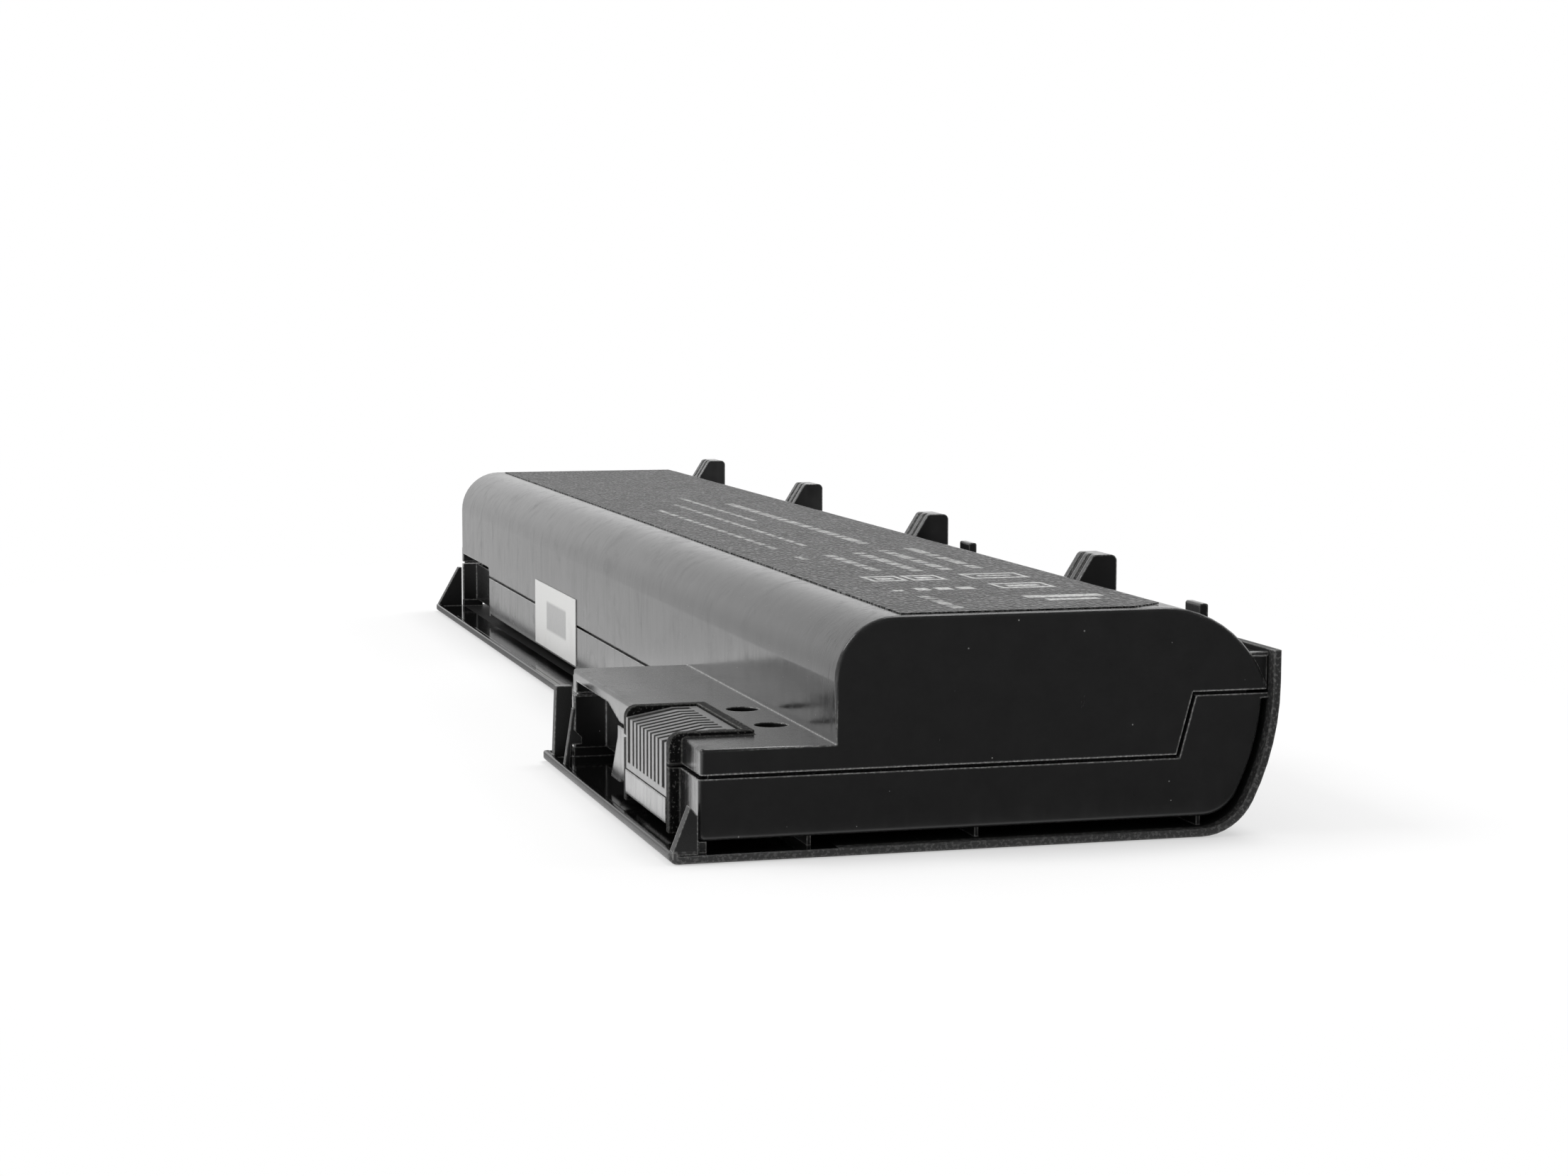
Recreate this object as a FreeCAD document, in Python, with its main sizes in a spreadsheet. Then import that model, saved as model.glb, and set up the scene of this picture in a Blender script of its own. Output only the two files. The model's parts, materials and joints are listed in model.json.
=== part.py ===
import FreeCAD, Part
import math
import operator
import os
from types import SimpleNamespace

import Sketcher

# Laptop battery: two moulded shells in an outer cover, six round cells, a board and a slotted connector.
# Millimetres, +Z up. The origin is the middle of the cover's underside, the cells lie along Y and the
# connector shelf is on the -X side at the near (-Y) end.

# Driving dimensions
SIZES = {
    # Cells
    "cell_diameter": 18.4,
    "cell_length": 65.0,
    "sleeve_thickness": 0.1,
    "sleeve_clearance": 0.05,
    "sleeve_inset": 0.3,
    "can_edge": 0.45,
    "crimp_height": 4.0,
    "crimp_depth": 0.6,
    "crimp_width": 1.6,
    "cap_radius": 4.2,
    "cap_height": 0.8,
    "rim_inner_radius": 6.5,
    "ring_thickness": 0.3,
    "row_gap": 0.2,
    "strap_gap": 1.2,
    # Room round the cells
    "cell_clearance": 0.08,
    "near_room": 4.0,
    "far_room": 6.6,
    "corridor": 2.0,
    "right_room": 2.64,
    # Shells
    "wall": 1.0,
    "shelf_width": 13.2,
    "shelf_step": 0.2,
    "shelf_length": 58.0,
    "shelf_height": 8.7,
    "parting_height": 6.01,
    "parting_step": 6.09,
    "parting_offset": 3.95,
    "parting_run": 1.65,
    "groove": 0.35,
    "bottom_radius": 0.6,
    "left_radius": 6.0,
    "shoulder_offset": 2.2,
    "shoulder_radius": 11.6,
    "edge_radius": 0.35,
    "root_depth": 0.35,
    "lip_thickness": 0.5,
    "lip_height": 1.0,
    "ledge_drop": 4.92,
    "ledge_clearance": 0.1,
    "ledge_lip_height": 0.28,
    "ledge_lip_drop": 0.1,
    "ledge_inset": 0.45,
    "ledge_lip_length": 0.9,
    "flare_height": 0.5,
    "stop_rib_width": 1.0,
    # Hooks and tabs along the ledge
    "hook_start": 35.8,
    "hook_end_gap": 0.7,
    "hook_length": 4.6,
    "hook_rise": 6.58,
    "hook_neck": 3.53,
    "hook_foot": 1.2,
    "hook_back_gap": 2.3,
    "hook_crown": 1.7,
    "hook_slope": 1.9,
    "hook_round": 0.7,
    "hook_crest_run": 0.35,
    "hook_rib": 0.9,
    "hook_groove": 0.28,
    "tab_start": 11.5,
    "tab_spacing": 69.8,
    "tab_length": 3.5,
    "tab_width": 0.95,
    "tab_rise": 3.83,
    "tab_round": 0.25,
    # Round wells in the shelf
    "well_radius": 1.7,
    "well_depth": 2.2,
    "well_inset": 2.72,
    "well_start": 12.71,
    "well_spacing": 10.81,
    # Latch pockets in the left side
    "pocket_depth": 3.4,
    "pocket_start": 34.4,
    "pocket_slant": 4.6,
    "pocket_end_wall": 1.6,
    "pocket_top": 7.5,
    "pocket_low_rise": 4.7,
    "pocket_top_run": 5.6,
    "tongue_inset": 0.3,
    "tongue_clearance": 0.05,
    "far_pocket_depth": 2.2,
    "far_pocket_length": 24.0,
    "pocket_wall": 0.9,
    # Connector bay
    "bay_start": 7.2,
    "bay_length": 19.4,
    "bay_reach": 14.3,
    "bay_right": 5.9,
    "bay_wall": 1.0,
    "bay_crown": 0.45,
    "bay_round": 1.2,
    "bay_drop": 0.46,
    "bar_top": 2.74,
    "bar_bottom": 0.34,
    "bar_reach": 0.1,
    # Connector
    "fit_clearance": 0.1,
    "housing_crown": 0.19,
    "housing_slope": 0.85,
    "housing_flat": 4.7,
    "housing_end": 0.9,
    "slot_floor": 0.7,
    "slot_pitch": 1.55,
    "slot_width": 0.75,
    "power_pitch": 1.95,
    "power_width": 1.15,
    "leaf_thickness": 0.2,
    "leaf_clearance": 0.04,
    "leaf_height": 3.6,
    "leaf_inset": 1.3,
    "contact_base": 0.4,
    "tail_width": 0.3,
    "tail_length": 0.5,
    # Circuit board
    "board_thickness": 0.8,
    "board_near": 1.5,
    "board_step_gap": 0.5,
    "board_end_gap": 1.1,
    "board_edge": 0.8,
    "support_width": 0.8,
    "support_start": 4.0,
    "support_spacing": 12.25,
    "part_gap": 1.0,
    "part_margin": 0.6,
    "lead_spacing": 2.6,
    "chip_height": 1.0,
    "chip_width": 4.4,
    "chip_length": 9.7,
    "chip_pin_pitch": 0.65,
    "chip_pin_width": 0.25,
    "chip_pin_reach": 1.0,
    "chip_pin_height": 0.4,
    "transistor_width": 3.9,
    "transistor_length": 4.9,
    "transistor_height": 1.5,
    "small_chip_width": 3.0,
    "resistor_width": 3.2,
    "resistor_length": 6.4,
    "resistor_height": 0.6,
    "fuse_width": 3.2,
    "fuse_length": 5.4,
    "fuse_height": 1.1,
    "capacitor_width": 1.2,
    "capacitor_length": 2.0,
    # Straps, papers and foam
    "strap_thickness": 0.2,
    "strap_width": 8.0,
    "strap_overlap": 5.0,
    "strap_tab": 1.6,
    "tab_clearance": 0.35,
    "arm_clearance": 0.62,
    "paper_thickness": 0.3,
    "paper_margin": 1.4,
    "gap_paper": 0.6,
    "foam_width": 12.0,
    "foam_height": 10.0,
    # Leads
    "power_lead": 1.6,
    "power_place": 1.2,
    "power_shift_length": 10.0,
    "power_climb": 5.2,
    "sense_lead": 1.0,
    "near_sense_place": 4.3,
    "far_sense_place": 3.0,
    "sense_approach": 19.0,
    "sense_step": 2.8,
    "lead_rise": 3.1,
    "lead_sag": 1.3,
    "pad_inset": 1.0,
    "bead_diameter": 1.6,
    "bead_length": 3.0,
    # Outer cover
    "cover_thickness": 0.8,
    "floor_gap": 1.06,
    "side_gap": 0.66,
    "cover_overhang": 1.0,
    "corner_radius": 6.0,
    "side_radius": 25.6,
    "side_arc_height": 14.83,
    "cover_rise": 0.55,
    "flange_reach": 16.1,
    "flange_narrow": 4.3,
    "flange_edge": 0.6,
    "flange_corner": 1.3,
    "flange_past_shelf": 2.4,
    "flange_step_corner": 0.7,
    "cover_edge": 0.15,
    "flange_rim": 0.3,
    "flange_rim_width": 0.7,
    "flange_rim_round": 0.25,
    "spacer_width": 0.4,
    "spacer_inset": 1.0,
    "shelf_spacer_place": 2.26,
    "left_spacer_place": 14.45,
    "right_spacer_place": 37.40,
    "foot_width": 0.75,
    "web_thickness": 1.2,
    "web_gap": 0.2,
    "web_inset": 0.3,
    "near_web_height": 3.44,
    "near_web_crest": 0.46,
    "near_web_drop": 0.9,
    "shelf_web_drop": 1.76,
    "shelf_web_lean": 0.6,
    "far_web_height": 5.2,
    "far_web_crest": 0.5,
    "catch_gap": 5.3,
    "catch_thickness": 0.8,
    "catch_width": 0.6,
    "catch_reach": 2.5,
    "catch_lean": 1.05,
    "catch_height": 5.36,
    "catch_tip": 0.3,
    "catch_nose_low": 1.4,
    "catch_nose_high": 2.2,
    "catch_nose_reach": 0.9,
    # Label and sticker
    "label_thickness": 0.12,
    "label_left": 6.8,
    "label_right_offset": 3.2,
    "label_near": 1.2,
    "label_far": 2.0,
    "label_cut_x": 3.5,
    "label_cut_y": 2.3,
    "sticker_start": 119.0,
    "sticker_length": 28.0,
    "sticker_bottom": 0.64,
    "sticker_height": 8.9,
}

CELLS_IN_ROW = 3
SIGNAL_SLOTS = 8
HOOKS = 4
HOOK_RIBS = 3
TABS = 2
SUPPORTS = 3
TRANSISTORS = 2
CAPACITORS = 4
WELLS = 2
CHIP_PINS = 14

doc = FreeCAD.newDocument("LaptopBattery")

# Arithmetic on sizes

OPERATIONS = {"+": operator.add, "-": operator.sub, "*": operator.mul, "/": operator.truediv}


class Size:
    """A length that carries its number and the sheet expression that gives it."""

    def __init__(self, number, text):
        self.number = number
        self.text = text

    def __add__(self, other):
        return combined(self, "+", other)

    def __radd__(self, other):
        return combined(other, "+", self)

    def __sub__(self, other):
        return combined(self, "-", other)

    def __rsub__(self, other):
        return combined(other, "-", self)

    def __mul__(self, other):
        return combined(self, "*", other)

    def __rmul__(self, other):
        return combined(other, "*", self)

    def __truediv__(self, other):
        return combined(self, "/", other)

    def __neg__(self):
        return combined(0, "-", self)


def as_size(value):
    return value if isinstance(value, Size) else Size(float(value), repr(float(value)))


def combined(first, sign, second):
    first = as_size(first)
    second = as_size(second)
    return Size(OPERATIONS[sign](first.number, second.number), f"({first.text} {sign} {second.text})")


def root(value):
    return Size(math.sqrt(value.number), f"sqrt({value.text})")


def filled_sheet():
    """Write the driving dimensions into the sheet and give each one as a Size."""
    sheet = doc.addObject("Spreadsheet::Sheet", "Sizes")
    sizes = {}
    for row, (name, value) in enumerate(SIZES.items(), start=1):
        sheet.set(f"A{row}", name.replace("_", " "))
        sheet.set(f"B{row}", str(value))
        sheet.setAlias(f"B{row}", name)
        sizes[name] = Size(value, f"Sizes.{name}")
    doc.recompute()
    return SimpleNamespace(**sizes)


s = filled_sheet()

# Sketches and features

LEFT = 1
RIGHT = -1
NORMAL_SIGN = {"XY_Plane": 1, "XZ_Plane": -1, "YZ_Plane": 1}
TOLERANCE = 1e-4
BEND_SHARE = 0.45


def rectangle(left, low, right, high):
    return [(as_size(left), as_size(low)), (as_size(right), as_size(low)),
            (as_size(right), as_size(high)), (as_size(left), as_size(high))]


def disc(x, y, radius):
    """A full circle as two half arcs."""
    return [(x - radius, y, radius, LEFT), (x + radius, y, radius, LEFT)]


def arc_between(start, end, radius, side):
    """The short arc from start to end whose centre lies on the given side of the way."""
    middle = (start + end) * 0.5
    along = end - start
    height = math.sqrt(max(radius * radius - along.Length ** 2 / 4, 0.0))
    across = FreeCAD.Vector(-along.y, along.x, 0).normalize()
    centre = middle + across * (side * height)
    first, last = (start, end) if side == LEFT else (end, start)
    first_angle = math.atan2(first.y - centre.y, first.x - centre.x)
    last_angle = math.atan2(last.y - centre.y, last.x - centre.x)
    circle = Part.Circle(centre, FreeCAD.Vector(0, 0, 1), radius)
    return Part.ArcOfCircle(circle, first_angle, last_angle)


def draw_loop(drawing, loop):
    """Draw one closed loop and tie each corner and each arc's radius to the sheet.

    A corner is (x, y), or (x, y, radius, side) where the edge that leaves it is an arc.
    """
    starts = []
    ends = []
    constraints = []
    ties = []
    for index, corner in enumerate(loop):
        following = loop[(index + 1) % len(loop)]
        start = FreeCAD.Vector(corner[0].number, corner[1].number, 0)
        end = FreeCAD.Vector(following[0].number, following[1].number, 0)
        if len(corner) == 2:
            edge = drawing.addGeometry(Part.LineSegment(start, end))
            flipped = False
        else:
            radius, side = corner[2:]
            edge = drawing.addGeometry(arc_between(start, end, radius.number, side))
            flipped = side == RIGHT
            constraints.append(Sketcher.Constraint("Radius", edge, radius.number))
            ties.append(radius)
        starts.append((edge, 2 if flipped else 1))
        ends.append((edge, 1 if flipped else 2))
    for (edge, point), corner in zip(starts, loop):
        constraints.append(Sketcher.Constraint("DistanceX", -1, 1, edge, point, corner[0].number))
        ties.append(corner[0])
        constraints.append(Sketcher.Constraint("DistanceY", -1, 1, edge, point, corner[1].number))
        ties.append(corner[1])
    for (edge, point), (next_edge, next_point) in zip(ends, starts[1:] + starts[:1]):
        constraints.append(Sketcher.Constraint("Coincident", edge, point, next_edge, next_point))
    first = drawing.ConstraintCount
    drawing.addConstraint(constraints)
    for index, tied in enumerate(ties):
        drawing.setExpression(f"Constraints[{first + index}]", tied.text)


def drawn(body, name, plane, offset, loops):
    """A sketch with closed loops on one of the body's origin planes, moved along its normal."""
    drawing = body.newObject("Sketcher::SketchObject", name + "_sketch")
    support = next(item for item in body.Origin.OriginFeatures if item.Role == plane)
    drawing.AttachmentSupport = (support, [""])
    drawing.MapMode = "FlatFace"
    drawing.setExpression(".AttachmentOffset.Base.z", (offset * NORMAL_SIGN[plane]).text)
    for loop in loops:
        draw_loop(drawing, loop)
    return drawing


def add(body, name, plane, loops, low, high):
    """Pad the loops between two levels along the plane's axis."""
    low = as_size(low)
    high = as_size(high)
    start = low if NORMAL_SIGN[plane] > 0 else high
    pad = body.newObject("PartDesign::Pad", name)
    pad.Profile = drawn(body, name, plane, start, loops)
    pad.setExpression("Length", (high - low).text)
    return pad


def cut(body, name, plane, loops, low, high):
    """Pocket the loops between two levels along the plane's axis and make sure material goes."""
    low = as_size(low)
    high = as_size(high)
    start = high if NORMAL_SIGN[plane] > 0 else low
    doc.recompute()
    before = body.Shape.Volume
    pocket = body.newObject("PartDesign::Pocket", name)
    pocket.Profile = drawn(body, name, plane, start, loops)
    pocket.setExpression("Length", (high - low).text)
    doc.recompute()
    if body.Shape.Volume >= before:
        raise RuntimeError(f"{name} cuts nothing")
    return pocket


def rounded(body, name, radius, wanted):
    """Fillet each edge whose middle and ends the wanted test accepts."""
    doc.recompute()
    tip = body.Tip
    names = []
    for index, edge in enumerate(tip.Shape.Edges, start=1):
        middle = edge.valueAt((edge.FirstParameter + edge.LastParameter) / 2)
        points = [middle] + [vertex.Point for vertex in edge.Vertexes]
        if wanted(points):
            names.append(f"Edge{index}")
    fillet = body.newObject("PartDesign::Fillet", name)
    fillet.Base = (tip, names)
    fillet.setExpression("Radius", radius.text)
    return fillet


def lies_at(points, axis, level):
    """Whether all the points are at one level along an axis."""
    return all(abs(getattr(point, axis) - level.number) < TOLERANCE for point in points)


def new_body(label):
    body = doc.addObject("PartDesign::Body", label)
    body.Label = label
    body.AllowCompound = True
    return body


def turned(label, loop):
    """A body turned about the Y axis of its own frame."""
    body = new_body(label)
    revolution = body.newObject("PartDesign::Revolution", label + "_turn")
    profile = drawn(body, label, "XY_Plane", as_size(0), [loop])
    revolution.Profile = profile
    revolution.ReferenceAxis = (profile, ["V_Axis"])
    revolution.Angle = 360
    return body


def placed(body, x, y, z):
    for axis, value in (("x", x), ("y", y), ("z", z)):
        body.setExpression(f"Placement.Base.{axis}", as_size(value).text)
    return body


def block(label, x_low, x_high, y_low, y_high, z_low, z_high):
    """A plain box between its faces."""
    box = doc.addObject("Part::Box", label)
    box.Label = label
    box.setExpression("Length", (x_high - x_low).text)
    box.setExpression("Width", (y_high - y_low).text)
    box.setExpression("Height", (z_high - z_low).text)
    return placed(box, x_low, y_low, z_low)


def turn_at(before, point, after):
    """Where a turn starts, its centre, its axis and its angle in degrees."""
    inward = before - point
    onward = after - point
    turn = math.pi - inward.getAngle(onward)
    reach = BEND_SHARE * min(inward.Length, onward.Length)
    inward = inward.normalize()
    onward = onward.normalize()
    radius = reach / math.tan(turn / 2)
    centre = point + (inward + onward).normalize() * (radius / math.cos(turn / 2))
    return point + inward * reach, centre, onward.cross(inward), math.degrees(turn)


def lead(label, points, diameter):
    """A round insulated wire of straight runs joined by tangent arcs."""
    points = [FreeCAD.Vector(*(as_size(value).number for value in point)) for point in points]
    circle = Part.makeCircle(diameter.number / 2, points[0], points[1] - points[0])
    section = Part.Face(Part.Wire(circle))
    runs = []
    for before, point, after in zip(points, points[1:], points[2:]):
        turn_start, centre, axis, angle = turn_at(before, point, after)
        way = turn_start - section.CenterOfMass
        runs.append(section.extrude(way))
        section = section.translated(way)
        runs.append(section.revolve(centre, axis, angle))
        section = section.rotated(centre, axis, angle)
    runs.append(section.extrude(points[-1] - section.CenterOfMass))
    joined = runs[0].multiFuse(runs[1:]).removeSplitter()
    if len(joined.Solids) != 1:
        raise RuntimeError(f"{label} is in {len(joined.Solids)} pieces")
    feature = doc.addObject("Part::Feature", label)
    feature.Label = label
    feature.Shape = joined.Solids[0]
    return feature


# Levels and places that the sub-parts share

case_length = (2 * s.wall + s.near_room + CELLS_IN_ROW * s.cell_length
               + (CELLS_IN_ROW - 1) * s.strap_gap + s.far_room)
shell_width = (2 * s.wall + s.corridor + 2 * s.cell_diameter + s.row_gap + s.right_room)
overall_width = s.flange_reach + shell_width + s.side_gap + s.cover_thickness
block_height = s.cell_diameter + 2 * s.cell_clearance + 2 * s.wall

near = -case_length / 2
far = case_length / 2
left = -overall_width / 2
right = overall_width / 2
wall_x = left + s.flange_reach
inner_x = wall_x + s.wall
near_inner = near + s.wall
far_inner = far - s.wall

bottom = s.cover_thickness + s.floor_gap
floor = bottom + s.wall
top = bottom + block_height
roof = top - s.wall
shelf_top = bottom + s.shelf_height
shelf_roof = shelf_top - s.wall
parting = bottom + s.parting_height
parting_right = parting + s.parting_step
lower_top = parting - s.groove / 2
upper_bottom = parting + s.groove / 2
lower_top_right = parting_right - s.groove / 2
upper_bottom_right = parting_right + s.groove / 2
ledge_top = top - s.ledge_drop

shelf_left = wall_x - s.shelf_width
shelf_left_inner = shelf_left + s.wall
upper_shelf_left = shelf_left + s.shelf_step
upper_shelf_left_inner = upper_shelf_left + s.wall
shelf_end = near + s.shelf_length
shelf_end_inner = shelf_end - s.wall

row_one = inner_x + s.corridor + s.cell_diameter / 2
row_two = row_one + s.cell_diameter + s.row_gap
slant_low = row_two + s.parting_offset
slant_high = slant_low + s.parting_run
cell_level = floor + s.cell_clearance + s.cell_diameter / 2
cells_start = near_inner + s.near_room
cell_pitch = s.cell_length + s.strap_gap
cells_end = cells_start + CELLS_IN_ROW * s.cell_length + (CELLS_IN_ROW - 1) * s.strap_gap
papers_start = cells_start - s.strap_thickness - s.paper_thickness
papers_end = cells_end + s.strap_thickness + s.paper_thickness

bay_left = wall_x - s.bay_reach
bay_near = near + s.bay_start
bay_far = bay_near + s.bay_length
bay_right = wall_x - s.bay_right
bay_near_inner = bay_near + s.bay_wall
bay_far_inner = bay_far - s.bay_wall
bay_right_inner = bay_right - s.bay_wall
bay_top = shelf_top + s.bay_crown
bar_top = bottom + s.bar_top
board_top = bar_top + s.fit_clearance
board_bottom = board_top - s.board_thickness

pocket_inner = shelf_left + s.pocket_depth + s.shelf_step
pocket_back = pocket_inner + s.pocket_wall
pocket_near = near + s.pocket_start
pocket_far = shelf_end - s.pocket_end_wall
pocket_top = bottom + s.pocket_top
far_pocket_near = far_inner - s.far_pocket_length
far_pocket_inner = wall_x + s.far_pocket_depth
far_pocket_back = far_pocket_inner + s.pocket_wall

# Clear of every face that a cut has to pass
OVER = 2.0

# The cover's round right side: a small corner arc that runs on into a wide side arc

arc_x = right - s.side_radius
arc_span = s.side_radius - s.corner_radius
arc_rise = s.side_arc_height - s.corner_radius
arc_run = root(arc_span * arc_span - arc_rise * arc_rise)
corner_x = arc_x + arc_run


def side_point(inset, shift):
    """Where the corner arc meets the side arc, inside the cover's outer face and moved along X."""
    radius = s.corner_radius - inset
    return corner_x + shift + radius * arc_run / arc_span, s.corner_radius - radius * arc_rise / arc_span


def side_curve(inset, shift=0):
    """The corner arc and the side arc, from the underside upwards."""
    x, z = side_point(inset, shift)
    return [(corner_x + shift, as_size(inset), s.corner_radius - inset, LEFT),
            (x, z, s.side_radius - inset, LEFT)]


def side_curve_down(inset):
    """The same two arcs from the top of the side arc down to the underside."""
    x, z = side_point(inset, 0)
    return [(right - inset, s.side_arc_height, s.side_radius - inset, RIGHT),
            (x, z, s.corner_radius - inset, RIGHT),
            (corner_x, as_size(inset))]


def side_x(inset, z):
    """The shell's side arc's x at a height."""
    radius = s.side_radius - inset
    rise = z - s.side_arc_height
    return arc_x + shell_shift + root(radius * radius - rise * rise)


# The shell's side stands nearer to the cover than its floor does
shell_inset = s.cover_thickness + s.floor_gap
shell_shift = s.floor_gap - s.side_gap
shoulder_x = row_two + s.shoulder_offset
shoulder_z = top - s.shoulder_radius


def shoulder_at(inset, z):
    """The shoulder arc's x at a height."""
    radius = s.shoulder_radius - inset
    rise = z - shoulder_z
    return shoulder_x + root(radius * radius - rise * rise)


def make_outer_cover():
    """The thin cover under the shells and up their right side, with its flange, ribs and webs."""
    body = new_body("outer_cover")
    cover_near = near - s.cover_overhang
    cover_far = far + s.cover_overhang
    sheet_top = s.cover_thickness
    rim_top = sheet_top + s.flange_rim
    inside = right - s.cover_thickness
    narrow_left = wall_x - s.flange_narrow
    step_end = shelf_end + s.flange_past_shelf

    outline = [(left, s.flange_edge, s.flange_edge, LEFT), (left + s.flange_edge, as_size(0))]
    outline += side_curve(as_size(0))
    cover_top = ledge_top + s.cover_rise
    outline += [(right, s.side_arc_height), (right, cover_top), (inside, cover_top)]
    outline += side_curve_down(s.cover_thickness)
    outline += [(left + s.flange_rim_width, sheet_top), (left + s.flange_rim_width, rim_top),
                (left + s.flange_rim_round, rim_top, s.flange_rim_round, LEFT),
                (left, rim_top - s.flange_rim_round)]
    add(body, "sheet", "XZ_Plane", [outline], cover_near, cover_far)

    def end_outline(points):
        return lies_at(points, "y", cover_near) or lies_at(points, "y", cover_far)

    rounded(body, "end_edges", s.cover_edge, end_outline)

    # Past the shelf the flange is narrow
    spare = rectangle(left - OVER, step_end, narrow_left, cover_far + OVER)
    cut(body, "flange_step", "XY_Plane", [spare], as_size(-OVER), rim_top + OVER)
    narrow_rim_right = narrow_left + s.flange_rim_width
    narrow_rim = [(narrow_left, s.flange_edge, s.flange_edge, LEFT),
                  (narrow_left + s.flange_edge, as_size(0)),
                  (narrow_rim_right, as_size(0)), (narrow_rim_right, rim_top),
                  (narrow_left + s.flange_rim_round, rim_top, s.flange_rim_round, LEFT),
                  (narrow_left, rim_top - s.flange_rim_round)]
    spare = rectangle(narrow_left - OVER, step_end, narrow_left + s.flange_edge, cover_far + OVER)
    cut(body, "narrow_edge", "XY_Plane", [spare], as_size(-OVER), sheet_top + OVER)
    add(body, "narrow_rim", "XZ_Plane", [narrow_rim], step_end - s.flange_rim_width, cover_far)
    add(body, "step_rim", "YZ_Plane",
        [[(step_end - s.flange_rim_width, sheet_top - s.root_depth), (step_end, sheet_top - s.root_depth),
          (step_end, rim_top - s.flange_rim_round, s.flange_rim_round, LEFT),
          (step_end - s.flange_rim_round, rim_top), (step_end - s.flange_rim_width, rim_top)]],
        left + s.flange_rim_round, narrow_rim_right)
    corners = []
    for x, y, way, turn in ((left, cover_near, 1, s.flange_corner), (left, step_end, -1, s.flange_step_corner),
                            (narrow_left, cover_far, -1, s.flange_corner)):
        corners.append([(x - OVER, y - way * OVER), (x + turn, y - way * OVER),
                        (x + turn, y, turn, RIGHT if way > 0 else LEFT), (x, y + way * turn),
                        (x - OVER, y + way * turn)])
    cut(body, "flange_corners", "XY_Plane", corners, as_size(-OVER), rim_top + OVER)

    # Long spacers carry the shells, and a foot holds the near left corner
    root_level = sheet_top - s.root_depth
    spacers = []
    for place in (-s.shelf_spacer_place, s.left_spacer_place, s.right_spacer_place):
        start = wall_x + place - s.spacer_width / 2
        spacers.append(rectangle(start, root_level, start + s.spacer_width, bottom))
    add(body, "spacers", "XZ_Plane", spacers[1:], near + s.spacer_inset, far - s.spacer_inset)
    add(body, "shelf_spacer", "XZ_Plane", spacers[:1], near + s.spacer_inset, shelf_end_inner)
    add(body, "corner_foot", "XZ_Plane",
        [rectangle(shelf_left, root_level, shelf_left + s.foot_width, bottom)], near, near + s.spacer_inset)
    add(body, "shelf_end_spacer", "XZ_Plane", [rectangle(shelf_left, root_level, inner_x, bottom)],
        shelf_end - s.web_thickness, shelf_end)
    add(body, "far_end_spacer", "XZ_Plane", [rectangle(wall_x, root_level, far_pocket_back, bottom)],
        far - s.web_thickness, far)

    # Webs stand on the flange against the shells' left side
    web_left = left + s.web_inset
    web_right = shelf_left - s.web_gap
    crest_left = web_right - s.web_inset - s.near_web_crest
    near_web = [(web_left, root_level), (web_right, root_level), (web_right, bottom),
                (web_right, bottom + s.near_web_height - s.near_web_drop),
                (crest_left, bottom + s.near_web_height), (web_left, rim_top)]
    add(body, "near_web", "XZ_Plane", [near_web], near - s.web_thickness / 2, near + s.web_thickness / 2)
    shelf_web_top = shelf_top - s.shelf_web_drop
    shelf_web = [(web_left, root_level), (web_right, root_level), (web_right, shelf_web_top),
                 (web_left + s.shelf_web_lean, shelf_web_top), (web_left + s.shelf_web_lean / 2, rim_top)]
    add(body, "shelf_web", "XZ_Plane", [shelf_web], shelf_end - s.web_thickness, shelf_end)
    narrow_web_left = narrow_left + s.web_inset
    far_web_right = wall_x - s.web_gap
    far_web_top = bottom + s.far_web_height
    far_web = [(narrow_web_left, root_level), (far_web_right, root_level), (far_web_right, far_web_top),
               (far_web_right - s.far_web_crest, far_web_top), (narrow_web_left, rim_top)]
    add(body, "far_web", "XZ_Plane", [far_web], far - s.web_thickness / 2, far + s.web_thickness / 2)

    # A springy catch leans beside the latch pocket
    catch_left = shelf_left - s.catch_reach
    catch_crest = bottom + s.catch_height
    nose = catch_left + s.catch_width + s.catch_nose_reach + s.catch_lean / 2
    catch = [(catch_left, root_level), (catch_left + s.catch_width, root_level),
             (catch_left + s.catch_width + s.catch_lean / 4, bottom + s.catch_nose_low),
             (nose, bottom + s.catch_nose_low), (nose, bottom + s.catch_nose_high),
             (catch_left + s.catch_width + s.catch_lean / 2, bottom + s.catch_nose_high + s.catch_nose_reach),
             (catch_left + s.catch_lean + s.catch_tip, catch_crest), (catch_left + s.catch_lean, catch_crest)]
    catch_far = pocket_far - s.catch_gap
    add(body, "catch", "XZ_Plane", [catch], catch_far - s.catch_thickness, catch_far)
    return body


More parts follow.
